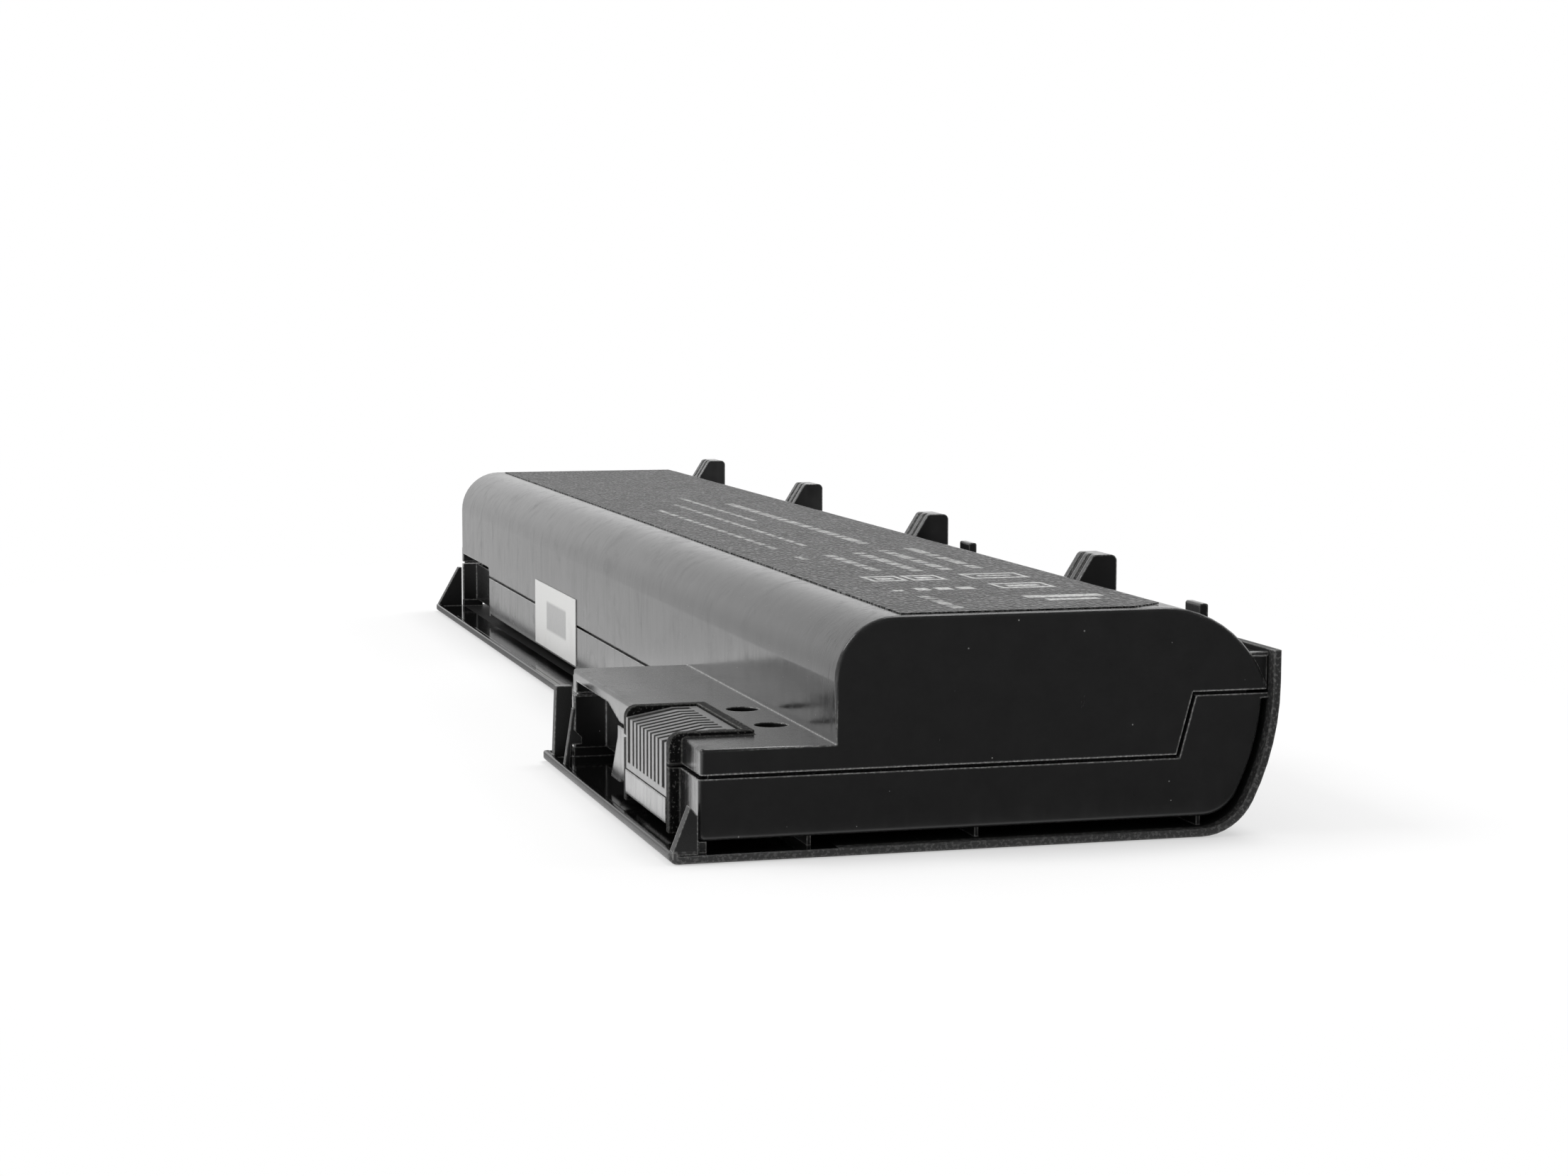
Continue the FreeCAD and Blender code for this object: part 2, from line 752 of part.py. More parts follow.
def make_lower_shell():
    """The tray under the cells and the board."""
    body = new_body("lower_shell")
    outline = [(wall_x, bottom + s.bottom_radius, s.bottom_radius, LEFT), (wall_x + s.bottom_radius, bottom)]
    outline += side_curve(shell_inset, shell_shift)
    outline += [(side_x(shell_inset, lower_top_right), lower_top_right),
                (slant_high + s.groove / 2, lower_top_right),
                (slant_low + s.groove / 2, lower_top), (wall_x, lower_top)]
    add(body, "tray", "XZ_Plane", [outline], near, far)
    shelf = [(shelf_left, bottom + s.bottom_radius, s.bottom_radius, LEFT),
             (shelf_left + s.bottom_radius, bottom), (inner_x, bottom),
             (inner_x, lower_top), (shelf_left, lower_top)]
    add(body, "shelf", "XZ_Plane", [shelf], near, shelf_end)

    def end_outline(points):
        on_parting = all(point.z > lower_top.number - TOLERANCE for point in points)
        return (lies_at(points, "y", near) or lies_at(points, "y", far)) and not on_parting

    rounded(body, "end_edges", s.edge_radius, end_outline)

    # A flare along the top of the right wall reaches the cover
    flare_right = right - s.cover_thickness - s.ledge_clearance
    flare_left = flare_right - s.side_gap - s.wall
    add(body, "flare", "XZ_Plane",
        [rectangle(flare_left, lower_top_right - s.flare_height, flare_right, lower_top_right)], near, far)

    cavity = [(inner_x, floor)] + side_curve(shell_inset + s.wall, shell_shift)
    cavity += [(side_x(shell_inset + s.wall, lower_top_right), lower_top_right),
               (side_x(shell_inset + s.wall, lower_top_right), lower_top_right + OVER),
               (inner_x, lower_top_right + OVER)]
    cut(body, "cell_room", "XZ_Plane", [cavity], near_inner, far_inner)
    cut(body, "board_room", "XY_Plane",
        [rectangle(shelf_left_inner, near_inner, inner_x, shelf_end_inner)], floor, lower_top + OVER)

    # Connector bay: a low front bar between two side walls that stand out from the shelf
    add(body, "bay_sides", "XZ_Plane",
        [rectangle(bay_left, bottom - s.bay_drop, shelf_left_inner, lower_top)], bay_near, bay_far)
    cut(body, "bay_front", "XY_Plane",
        [rectangle(bay_left - OVER, bay_near_inner, shelf_left_inner, bay_far_inner)],
        as_size(0), lower_top + OVER)
    add(body, "front_bar", "XZ_Plane",
        [rectangle(bay_left - s.bar_reach, bottom + s.bar_bottom, shelf_left_inner, bar_top)],
        bay_near_inner, bay_far_inner)
    add(body, "bar_floor", "XZ_Plane", [rectangle(shelf_left, bottom, shelf_left_inner, floor)],
        bay_near_inner, bay_far_inner)

    # Latch pocket in the shelf's side, open below
    add(body, "pocket_box", "XY_Plane",
        [rectangle(shelf_left, pocket_near - s.pocket_wall, pocket_back, shelf_end)], bottom, lower_top)
    pocket = [(pocket_near + s.pocket_slant, bottom - OVER), (pocket_far, bottom - OVER),
              (pocket_far, lower_top + OVER), (pocket_near, lower_top + OVER),
              (pocket_near, bottom + s.pocket_low_rise)]
    cut(body, "pocket", "YZ_Plane", [pocket], shelf_left - OVER, pocket_inner)

    # Far latch pocket in the block's side
    add(body, "far_pocket_box", "XY_Plane",
        [rectangle(wall_x, far_pocket_near - s.pocket_wall, far_pocket_back, far)], bottom, lower_top)
    cut(body, "far_pocket", "YZ_Plane",
        [rectangle(far_pocket_near, bottom - OVER, far_inner, lower_top + OVER)],
        wall_x - OVER, far_pocket_inner)

    # Ribs that carry the board, and stops that hold the cells off the near end
    supports = []
    for number in range(SUPPORTS):
        start = near_inner + s.support_start + number * s.support_spacing
        supports.append(rectangle(shelf_left_inner, start, wall_x - s.board_edge, start + s.support_width))
    start = (pocket_near + pocket_far - s.support_width) / 2
    supports.append(rectangle(pocket_back, start, wall_x - s.board_edge, start + s.support_width))
    add(body, "board_supports", "XY_Plane", supports, floor - s.root_depth, board_bottom)
    stops = [rectangle(row - s.stop_rib_width / 2, floor - s.root_depth,
                       row + s.stop_rib_width / 2, lower_top - s.lip_height)
             for row in (row_one, row_two)]
    add(body, "cell_stops", "XZ_Plane", stops, near_inner - s.root_depth, papers_start)
    return body


def add_hook(body, number):
    """A hook on the ledge with a round crest and ribs down its sloping face."""
    spacing = (case_length - s.hook_start - s.hook_length - s.hook_end_gap) / (HOOKS - 1)
    start = near + s.hook_start + number * spacing
    back = right - s.hook_back_gap
    crest = ledge_top + s.hook_rise
    crest_left = back - s.hook_round - s.hook_crown
    neck_z = ledge_top + s.hook_neck
    neck_x = crest_left - s.hook_slope
    fall = crest - neck_z
    face = root(s.hook_slope * s.hook_slope + fall * fall)
    run_x = s.hook_crest_run * s.hook_slope / face
    run_z = s.hook_crest_run * fall / face
    crest_radius = s.hook_crest_run * (face + s.hook_slope) / fall

    def sloped_face(reach):
        return [(crest_left + s.hook_crest_run - reach, crest, crest_radius, LEFT),
                (crest_left - run_x - reach, crest - run_z), (neck_x - reach, neck_z)]

    core = [(back, ledge_top - s.root_depth), (back, crest - s.hook_round, s.hook_round, LEFT),
            (back - s.hook_round, crest)]
    core += sloped_face(as_size(0)) + [(neck_x, neck_z - s.hook_foot)]
    rib = [(back - s.hook_round, neck_z), (back - s.hook_round, crest)]
    rib += sloped_face(s.hook_groove) + [(neck_x, neck_z - s.hook_groove)]
    add(body, f"hook_{number + 1}", "XZ_Plane", [core], start, start + s.hook_length)
    pitch = (s.hook_length - s.hook_rib) / (HOOK_RIBS - 1)
    for index in range(HOOK_RIBS):
        rib_start = start + index * pitch
        add(body, f"hook_{number + 1}_rib_{index + 1}", "XZ_Plane", [rib], rib_start, rib_start + s.hook_rib)


def make_upper_shell():
    """The lid over the cells with the shelf, the ledge, the hooks and the connector frame."""
    body = new_body("upper_shell")
    outline = [(wall_x, upper_bottom), (slant_low - s.groove / 2, upper_bottom),
               (slant_high - s.groove / 2, upper_bottom_right),
               (shoulder_at(as_size(0), upper_bottom_right), upper_bottom_right, s.shoulder_radius, LEFT),
               (shoulder_x, top), (wall_x + s.left_radius, top, s.left_radius, LEFT),
               (wall_x, top - s.left_radius)]
    add(body, "lid", "XZ_Plane", [outline], near, far)

    def end_outline(points):
        on_parting = all(point.z < upper_bottom_right.number + TOLERANCE for point in points)
        return (lies_at(points, "y", near) or lies_at(points, "y", far)) and not on_parting

    rounded(body, "end_edges", s.edge_radius, end_outline)

    add(body, "shelf", "XZ_Plane", [rectangle(upper_shelf_left, upper_bottom, inner_x, shelf_top)],
        near, shelf_end)

    def shelf_edges(points):
        on_left = lies_at(points, "x", upper_shelf_left) and not lies_at(points, "z", upper_bottom)
        return on_left or (lies_at(points, "y", near) and lies_at(points, "z", shelf_top))

    rounded(body, "shelf_edges", s.edge_radius, shelf_edges)

    # Ledge along the right shoulder, with a small lip across each end
    ledge_right = right - s.cover_thickness - s.ledge_clearance
    ledge_left = shoulder_at(as_size(0), ledge_top) - s.root_depth
    add(body, "ledge", "XZ_Plane", [rectangle(ledge_left, upper_bottom_right, ledge_right, ledge_top)],
        near + s.ledge_inset, far - s.ledge_inset)
    lip_outline = rectangle(ledge_left, ledge_top - s.ledge_lip_drop,
                            ledge_right, ledge_top + s.ledge_lip_height)
    lip_inset = s.ledge_inset / 3
    add(body, "near_ledge_lip", "XZ_Plane", [lip_outline], near + lip_inset, near + s.ledge_lip_length)
    add(body, "far_ledge_lip", "XZ_Plane", [lip_outline], far - s.ledge_lip_length, far - lip_inset)
    for number in range(HOOKS):
        add_hook(body, number)
    tab_right = right - s.hook_back_gap
    tab_left = tab_right - s.tab_width
    tab_top = ledge_top + s.tab_rise
    tab = [(tab_left, ledge_top - s.root_depth), (tab_right, ledge_top - s.root_depth),
           (tab_right, tab_top - s.tab_round, s.tab_round, LEFT),
           (tab_right - s.tab_round, tab_top), (tab_left + s.tab_round, tab_top, s.tab_round, LEFT),
           (tab_left, tab_top - s.tab_round)]
    for number in range(TABS):
        start = near + s.tab_start + number * s.tab_spacing
        add(body, f"tab_{number + 1}", "XZ_Plane", [tab], start, start + s.tab_length)

    cavity = [(inner_x, upper_bottom - OVER),
              (shoulder_at(s.wall, upper_bottom_right), upper_bottom - OVER),
              (shoulder_at(s.wall, upper_bottom_right), upper_bottom_right,
               s.shoulder_radius - s.wall, LEFT),
              (shoulder_x, roof), (wall_x + s.left_radius, roof, s.left_radius - s.wall, LEFT),
              (inner_x, top - s.left_radius)]
    cut(body, "cell_room", "XZ_Plane", [cavity], near_inner, far_inner)
    cut(body, "board_room", "XY_Plane",
        [rectangle(upper_shelf_left_inner, near_inner, inner_x, shelf_end_inner)],
        upper_bottom - OVER, shelf_roof)

    # Raised frame round the connector, open to the left and below
    frame = [(bay_left, upper_bottom), (bay_right, upper_bottom), (bay_right, bay_top),
             (bay_left + s.bay_round, bay_top, s.bay_round, LEFT), (bay_left, bay_top - s.bay_round)]
    add(body, "connector_frame", "XZ_Plane", [frame], bay_near, bay_far)
    cut(body, "connector_opening", "XY_Plane",
        [rectangle(bay_left - OVER, bay_near_inner, bay_right_inner, bay_far_inner)],
        upper_bottom - OVER, bay_top + OVER)

    # Round wells in the shelf, each in a boss under the roof
    bosses = []
    wells = []
    for number in range(WELLS):
        y = near + s.well_start + number * s.well_spacing
        bosses.append(disc(wall_x - s.well_inset, y, s.well_radius + s.wall))
        wells.append(disc(wall_x - s.well_inset, y, s.well_radius))
    add(body, "well_bosses", "XY_Plane", bosses, shelf_top - s.well_depth - s.wall, shelf_roof + s.root_depth)
    cut(body, "wells", "XY_Plane", wells, shelf_top - s.well_depth, shelf_top + OVER)

    # Latch pockets
    add(body, "pocket_box", "XY_Plane",
        [rectangle(upper_shelf_left, pocket_near - s.pocket_wall, pocket_back, shelf_end)],
        upper_bottom, shelf_roof + s.root_depth)
    pocket = [(pocket_near, upper_bottom - OVER), (pocket_far, upper_bottom - OVER), (pocket_far, pocket_top),
              (pocket_near + s.pocket_top_run, pocket_top), (pocket_near, upper_bottom)]
    cut(body, "pocket", "YZ_Plane", [pocket], upper_shelf_left - OVER, pocket_inner)
    add(body, "far_pocket_box", "XY_Plane",
        [rectangle(wall_x, far_pocket_near - s.pocket_wall, far_pocket_back, far)],
        upper_bottom, pocket_top + s.pocket_wall)
    far_pocket = [(far_pocket_near, upper_bottom - OVER), (far_inner, upper_bottom - OVER),
                  (far_inner, pocket_top), (far_pocket_near + s.bay_round, pocket_top, s.bay_round, LEFT),
                  (far_pocket_near, pocket_top - s.bay_round)]
    cut(body, "far_pocket", "YZ_Plane", [far_pocket], wall_x - OVER, far_pocket_inner)

    # Tongues close the groove in the walls at the pockets' far ends
    tongue_low = lower_top + s.tongue_clearance
    tongue_high = upper_bottom + s.root_depth
    add(body, "pocket_tongue", "XY_Plane",
        [rectangle(upper_shelf_left + s.tongue_inset, pocket_far + s.tongue_inset, pocket_back,
                   shelf_end - s.tongue_inset)], tongue_low, tongue_high)
    add(body, "far_pocket_tongue", "XY_Plane",
        [rectangle(wall_x + s.tongue_inset, far_inner + s.tongue_inset, far_pocket_back,
                   far - s.tongue_inset)], tongue_low, tongue_high)

    # Lips reach down inside the tray's walls and close the groove from within
    lip_low = lower_top - s.lip_height / 2
    lip_high = upper_bottom + s.lip_height
    right_low = lower_top_right - s.lip_height / 2
    right_high = upper_bottom_right + s.lip_height
    right_end = shoulder_at(s.wall + s.root_depth, right_high)
    slant_shift = s.lip_height + s.groove

    def end_lip(start):
        return [(start, lip_low), (slant_low + slant_shift, lip_low),
                (slant_high + slant_shift, right_low), (right_end, right_low), (right_end, right_high),
                (slant_high - slant_shift, right_high), (slant_low - slant_shift, lip_high),
                (start, lip_high)]

    add(body, "near_lip", "XZ_Plane", [end_lip(shelf_left_inner + s.fit_clearance)],
        near_inner, near_inner + s.lip_thickness)
    add(body, "far_lip", "XZ_Plane", [end_lip(far_pocket_back)],
        far_inner - s.lip_thickness, far_inner)
    add(body, "side_lip", "XY_Plane",
        [rectangle(inner_x, shelf_end, inner_x + s.lip_thickness, far_pocket_near - s.pocket_wall)],
        lip_low, lip_high)

    # Stops that hold the cells off the near end
    stops = [rectangle(row - s.stop_rib_width / 2, upper_bottom + s.lip_height / 2,
                       row + s.stop_rib_width / 2, roof + s.root_depth)
             for row in (row_one, row_two)]
    add(body, "cell_stops", "XZ_Plane", stops, near_inner - s.root_depth, papers_start)
    return body


def slots():
    """The connector's slots from near to far, each as its middle and its width."""
    middle = (bay_near + bay_far) / 2
    first = middle - (SIGNAL_SLOTS - 1) * s.slot_pitch / 2
    last = middle + (SIGNAL_SLOTS - 1) * s.slot_pitch / 2
    found = [(first - s.power_pitch, s.power_width)]
    for index in range(SIGNAL_SLOTS):
        found.append((first + index * s.slot_pitch, s.slot_width))
    found.append((last + s.power_pitch, s.power_width))
    return found


housing_right = bay_right_inner - s.fit_clearance
slot_end = housing_right - s.housing_end
slot_bottom = board_top + s.slot_floor
tail_high = slot_end - s.tail_length
tail_low = tail_high - s.tail_length


def make_connector_housing():
    """A slotted block whose fins guide the laptop's blades from above and from the side."""
    body = new_body("connector_housing")
    crown = shelf_top + s.housing_crown
    outline = [(bay_left, board_top), (housing_right, board_top), (housing_right, crown),
               (bay_left + s.housing_flat, crown), (bay_left, crown - s.housing_slope)]
    add(body, "housing", "XZ_Plane", [outline], bay_near_inner + s.fit_clearance,
        bay_far_inner - s.fit_clearance)
    openings = [rectangle(bay_left - OVER, middle - width / 2, slot_end, middle + width / 2)
                for middle, width in slots()]
    cut(body, "slots", "XY_Plane", openings, slot_bottom, crown + OVER)
    holes = [rectangle(tail_low - s.leaf_clearance, middle - s.tail_width / 2 - s.leaf_clearance,
                       tail_high + s.leaf_clearance, middle + s.tail_width / 2 + s.leaf_clearance)
             for middle, width in slots()]
    cut(body, "tail_holes", "XY_Plane", holes, board_top - OVER, slot_bottom + OVER)
    return body


def make_contacts():
    """One fork contact in each slot, with a tail down to the board."""
    body = new_body("connector_contacts")
    bases = []
    leaves = []
    tails = []
    leaf_left = bay_left + s.leaf_inset
    leaf_right = slot_end - s.leaf_clearance
    for middle, width in slots():
        half = width / 2 - s.leaf_clearance
        bases.append(rectangle(leaf_left + s.leaf_inset, middle - half, leaf_right, middle + half))
        leaves.append(rectangle(leaf_left, middle - half, leaf_right, middle - half + s.leaf_thickness))
        leaves.append(rectangle(leaf_left, middle + half - s.leaf_thickness, leaf_right, middle + half))
        tails.append(rectangle(tail_low, middle - s.tail_width / 2, tail_high, middle + s.tail_width / 2))
    base_low = slot_bottom + s.leaf_clearance
    add(body, "bases", "XY_Plane", bases, base_low, base_low + s.contact_base)
    add(body, "leaves", "XY_Plane", leaves, base_low, base_low + s.leaf_height)
    add(body, "tails", "XY_Plane", tails, board_top, base_low + s.contact_base / 2)
    return body


board_near = near_inner + s.board_near
board_left = shelf_left_inner + s.fit_clearance
board_narrow_left = pocket_back + s.fit_clearance
board_right = wall_x - s.board_edge
board_step = pocket_near - s.pocket_wall - s.board_step_gap
board_far = shelf_end_inner - s.board_end_gap

# Along the board from its far end: the fuse, the gauge chip, the leads' pads and the transistors
fuse_far = board_far - s.part_gap
fuse_near = fuse_far - s.fuse_length
chip_middle = fuse_near - s.part_gap - s.chip_length / 2
chip_near = chip_middle - s.chip_length / 2
second_pad = chip_near - s.part_gap
first_pad = second_pad - s.lead_spacing
thermistor_pad = first_pad - s.lead_spacing
transistors_far = thermistor_pad - s.part_gap - s.sense_lead / 2


def make_board():
    """The board under the connector, narrow beside the latch pocket."""
    body = new_body("circuit_board")
    outline = [(board_left, board_near), (board_right, board_near), (board_right, board_far),
               (board_narrow_left, board_far), (board_narrow_left, board_step), (board_left, board_step)]
    add(body, "board", "XY_Plane", [outline], board_bottom, board_top)
    return body


def make_board_parts():
    """The parts on the board: chips, transistors, a resistor, a fuse and capacitors."""
    body = new_body("gauge_chip")
    x = (board_narrow_left + board_right) / 2
    y = chip_middle
    half_width = s.chip_width / 2
    half_length = s.chip_length / 2
    case_low = board_top + s.chip_pin_height / 2
    add(body, "case", "XY_Plane",
        [rectangle(x - half_width, y - half_length, x + half_width, y + half_length)],
        case_low, case_low + s.chip_height)
    pins = []
    for index in range(CHIP_PINS):
        middle = y + (index - (CHIP_PINS - 1) / 2) * s.chip_pin_pitch
        pins.append(rectangle(x - half_width - s.chip_pin_reach, middle - s.chip_pin_width / 2,
                              x + half_width + s.chip_pin_reach, middle + s.chip_pin_width / 2))
    add(body, "pins", "XY_Plane", pins, board_top, board_top + s.chip_pin_height)

    lane = bay_right + s.wall
    for number in range(TRANSISTORS):
        end = transistors_far - number * (s.transistor_length + s.part_gap)
        block(f"power_transistor_{number + 1}", lane, lane + s.transistor_width,
              end - s.transistor_length, end, board_top, board_top + s.transistor_height)
    start = cells_start + s.part_margin
    block("protection_chip", lane, lane + s.small_chip_width, start, start + s.small_chip_width,
          board_top, board_top + s.chip_height)
    resistor_left = board_left + s.part_margin
    resistor_far = board_step - s.part_gap
    block("sense_resistor", resistor_left, resistor_left + s.resistor_length,
          resistor_far - s.resistor_width, resistor_far, board_top, board_top + s.resistor_height)
    fuse_left = board_narrow_left + s.part_margin
    block("board_fuse", fuse_left, fuse_left + s.fuse_width, fuse_near, fuse_far,
          board_top, board_top + s.fuse_height)
    capacitor_near = board_near + s.part_margin
    for number in range(CAPACITORS):
        start = board_left + s.part_margin + number * (s.capacitor_width + s.part_gap)
        block(f"capacitor_{number + 1}", start, start + s.capacitor_width,
              capacitor_near, capacitor_near + s.capacitor_length, board_top, board_top + s.capacitor_width)


def make_cells():
    """Six round cells in two rows, each with its sleeve and the insulating ring on its positive end."""
    can = s.cell_diameter / 2 - s.sleeve_thickness - s.sleeve_clearance
    rim = s.cell_length - s.cap_height / 2
    neck = rim - s.crimp_height
    zero = as_size(0)
    profile = [(zero, zero), (can - s.can_edge, zero), (can, s.can_edge), (can, neck),
               (can - s.crimp_depth, neck + s.crimp_width / 3),
               (can - s.crimp_depth, neck + s.crimp_width * 2 / 3), (can, neck + s.crimp_width),
               (can, rim - s.can_edge), (can - s.can_edge, rim), (s.rim_inner_radius, rim),
               (s.rim_inner_radius, s.cell_length - s.cap_height),
               (s.cap_radius, s.cell_length - s.cap_height),
               (s.cap_radius, s.cell_length), (zero, s.cell_length)]
    sleeve = rectangle(can + s.sleeve_clearance, s.sleeve_inset, s.cell_diameter / 2, rim - s.sleeve_inset)
    ring = rectangle(s.cap_radius + s.fit_clearance, rim, can - s.can_edge, rim + s.ring_thickness)
    number = 0
    for row in (row_one, row_two):
        for place in range(CELLS_IN_ROW):
            number += 1
            y = cells_start + place * cell_pitch
            placed(turned(f"cell_{number}", profile), row, y, cell_level)
            placed(turned(f"cell_sleeve_{number}", sleeve), row, y, cell_level)
            placed(turned(f"cap_ring_{number}", ring), row, y, cell_level)


strap_left = row_one - s.strap_overlap
strap_right = row_two + s.strap_overlap
strap_low = cell_level - s.strap_width / 2
strap_high = cell_level + s.strap_width / 2
power_z = floor + s.power_lead / 2
sense_z = floor + s.sense_lead / 2
near_sense_x = inner_x + s.near_sense_place
far_sense_x = inner_x + s.far_sense_place
power_x = inner_x + s.power_place
far_power_x = far_pocket_back + s.power_place


def strap_outline(tab_x):
    """A strap across both rows with a tab down to the lead in the bottom corner."""
    half = s.strap_tab / 2
    return [(tab_x - half, floor + s.tab_clearance), (tab_x + half, floor + s.tab_clearance),
            (tab_x + half, strap_low - s.strap_tab), (strap_left + s.strap_tab, strap_low),
            (strap_right, strap_low), (strap_right, strap_high), (strap_left, strap_high),
            (strap_left, strap_low + half), (tab_x - half, strap_low - s.strap_tab + half)]


def make_straps():
    """Nickel straps on the cell ends and folded ones in the two gaps between the cells."""
    body = new_body("negative_strap")
    foot_left = board_right - s.strap_tab
    arm_high = shelf_roof - s.arm_clearance
    arm_low = arm_high - s.strap_tab
    arm_right = strap_left + s.strap_tab
    plate = [(foot_left, board_top), (board_right, board_top), (board_right, arm_low), (arm_right, arm_low),
             (arm_right, strap_low), (strap_right, strap_low), (strap_right, strap_high),
             (strap_left, strap_high), (strap_left, arm_high), (foot_left, arm_high)]
    add(body, "plate", "XZ_Plane", [plate], cells_start - s.strap_thickness, cells_start)

    for number, tab_x in ((1, near_sense_x), (2, far_sense_x)):
        body = new_body(f"series_strap_{number}")
        start = cells_start + number * cell_pitch - s.strap_gap
        end = start + s.strap_gap
        add(body, "tab_plate", "XZ_Plane", [strap_outline(tab_x)], start, start + s.strap_thickness)
        add(body, "plate", "XZ_Plane", [rectangle(strap_left, strap_low, strap_right, strap_high)],
            end - s.strap_thickness, end)
        add(body, "fold", "XZ_Plane",
            [rectangle(strap_left, strap_high - s.strap_thickness, strap_right, strap_high)], start, end)
        middle = (start + end) / 2
        block(f"gap_paper_{number}", strap_left, strap_right, middle - s.gap_paper / 2,
              middle + s.gap_paper / 2, strap_low, strap_high - s.strap_thickness - s.fit_clearance)

    body = new_body("positive_strap")
    add(body, "plate", "XZ_Plane", [strap_outline(far_power_x)], cells_end, cells_end + s.strap_thickness)


def make_papers_and_foam():
    """Insulating paper over both end straps, and foam behind the far one."""
    paper_left = strap_left - s.paper_margin
    paper_right = strap_right + s.paper_margin
    paper_low = strap_low - s.paper_margin
    paper_high = strap_high + s.paper_margin
    block("near_paper", paper_left, paper_right, papers_start, cells_start - s.strap_thickness,
          paper_low, paper_high)
    block("far_paper", paper_left, paper_right, cells_end + s.strap_thickness, papers_end,
          paper_low, paper_high)
    for number, row in ((1, row_one), (2, row_two)):
        block(f"foam_pad_{number}", row - s.foam_width / 2, row + s.foam_width / 2,
              papers_end, far_inner - s.lip_thickness,
              cell_level - s.foam_height / 2, cell_level + s.foam_height / 2)


def make_leads():
    """Insulated leads along the bottom corner of the cell room to the board, and the thermistor."""
    pad_x = board_right - s.pad_inset
    rise = board_top + s.lead_rise
    power_pad = fuse_near + s.power_lead / 2
    corner_y = far_pocket_near - s.power_lead
    lead("positive_lead", [
        (far_power_x, cells_end, power_z), (far_power_x, corner_y, power_z),
        (power_x, corner_y - s.power_shift_length, power_z), (power_x, power_pad + s.power_climb, power_z),
        (wall_x, power_pad + s.power_climb / 2, rise - s.lead_sag), (pad_x, power_pad, rise),
        (pad_x, power_pad, board_top)], s.power_lead)
    first_end = cells_start + s.cell_length
    second_end = first_end + cell_pitch
    lead("sense_lead_1", [
        (near_sense_x, first_end, sense_z), (near_sense_x, first_pad + s.sense_approach, sense_z),
        (power_x + s.sense_lead / 2, first_pad + s.sense_approach / 2, sense_z + s.lead_sag),
        (wall_x, first_pad + s.sense_step, rise), (pad_x, first_pad, rise), (pad_x, first_pad, board_top)],
        s.sense_lead)
    lead("sense_lead_2", [
        (far_sense_x, second_end, sense_z), (far_sense_x, second_pad + s.sense_approach, sense_z),
        (power_x, second_pad + s.sense_approach / 2, sense_z + s.lead_sag),
        (wall_x, second_pad + 2 * s.sense_step, rise + s.sense_lead),
        (pad_x, second_pad, rise + s.sense_lead), (pad_x, second_pad, board_top)], s.sense_lead)

    bead_x = inner_x + s.corridor / 2
    bead_y = thermistor_pad - s.sense_step
    bead_low = cell_level - s.bead_length / 2
    bead = doc.addObject("Part::Cylinder", "thermistor")
    bead.Label = "thermistor"
    bead.setExpression("Radius", (s.bead_diameter / 2).text)
    bead.setExpression("Height", s.bead_length.text)
    placed(bead, bead_x, bead_y, bead_low)
    lead("thermistor_lead", [
        (bead_x, bead_y, bead_low), (bead_x, bead_y, rise), (pad_x, thermistor_pad, rise - s.sense_lead),
        (pad_x, thermistor_pad, board_top)], s.sense_lead)


def make_label_and_sticker():
    """The thin label on the lid and the paper sticker on the left wall."""
    body = new_body("top_label")
    label_left = wall_x + s.label_left
    label_right = row_two + s.label_right_offset
    label_near = near + s.label_near
    outline = [(label_left, label_near), (label_right - s.label_cut_x, label_near),
               (label_right, label_near + s.label_cut_y), (label_right, far - s.label_far),
               (label_left, far - s.label_far)]
    add(body, "sheet", "XY_Plane", [outline], top, top + s.label_thickness)
    block("wall_sticker", wall_x - s.label_thickness, wall_x,
          near + s.sticker_start, near + s.sticker_start + s.sticker_length,
          bottom + s.sticker_bottom, bottom + s.sticker_bottom + s.sticker_height)


def sub_parts():
    """Every object that is a sub-part: what isn't a sheet, a sketch or a feature inside a body."""
    found = []
    for item in doc.Objects:
        inside = item.getParentGeoFeatureGroup() is not None
        if item.isDerivedFrom("Part::Feature") and not inside:
            found.append(item)
    return found


def write_parts():
    """Check every object and write each sub-part to its own file."""
    doc.recompute()
    for item in doc.Objects:
        if "Invalid" in item.State or "Error" in item.State:
            raise RuntimeError(f"{item.Label} did not build: {item.State}")
    for item in sub_parts():
        if item.Shape.isNull() or not item.Shape.isValid() or not item.Shape.Solids:
            raise RuntimeError(f"{item.Label} has no valid solid")
    os.makedirs("parts", exist_ok=True)
    for item in sub_parts():
        item.Shape.exportStep(f"parts/{item.Label}.step")


make_outer_cover()
make_lower_shell()
make_upper_shell()
make_connector_housing()
make_contacts()
make_board()
make_board_parts()
make_cells()
make_straps()
make_papers_and_foam()
make_leads()
make_label_and_sticker()
write_parts()
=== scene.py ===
import json
import math

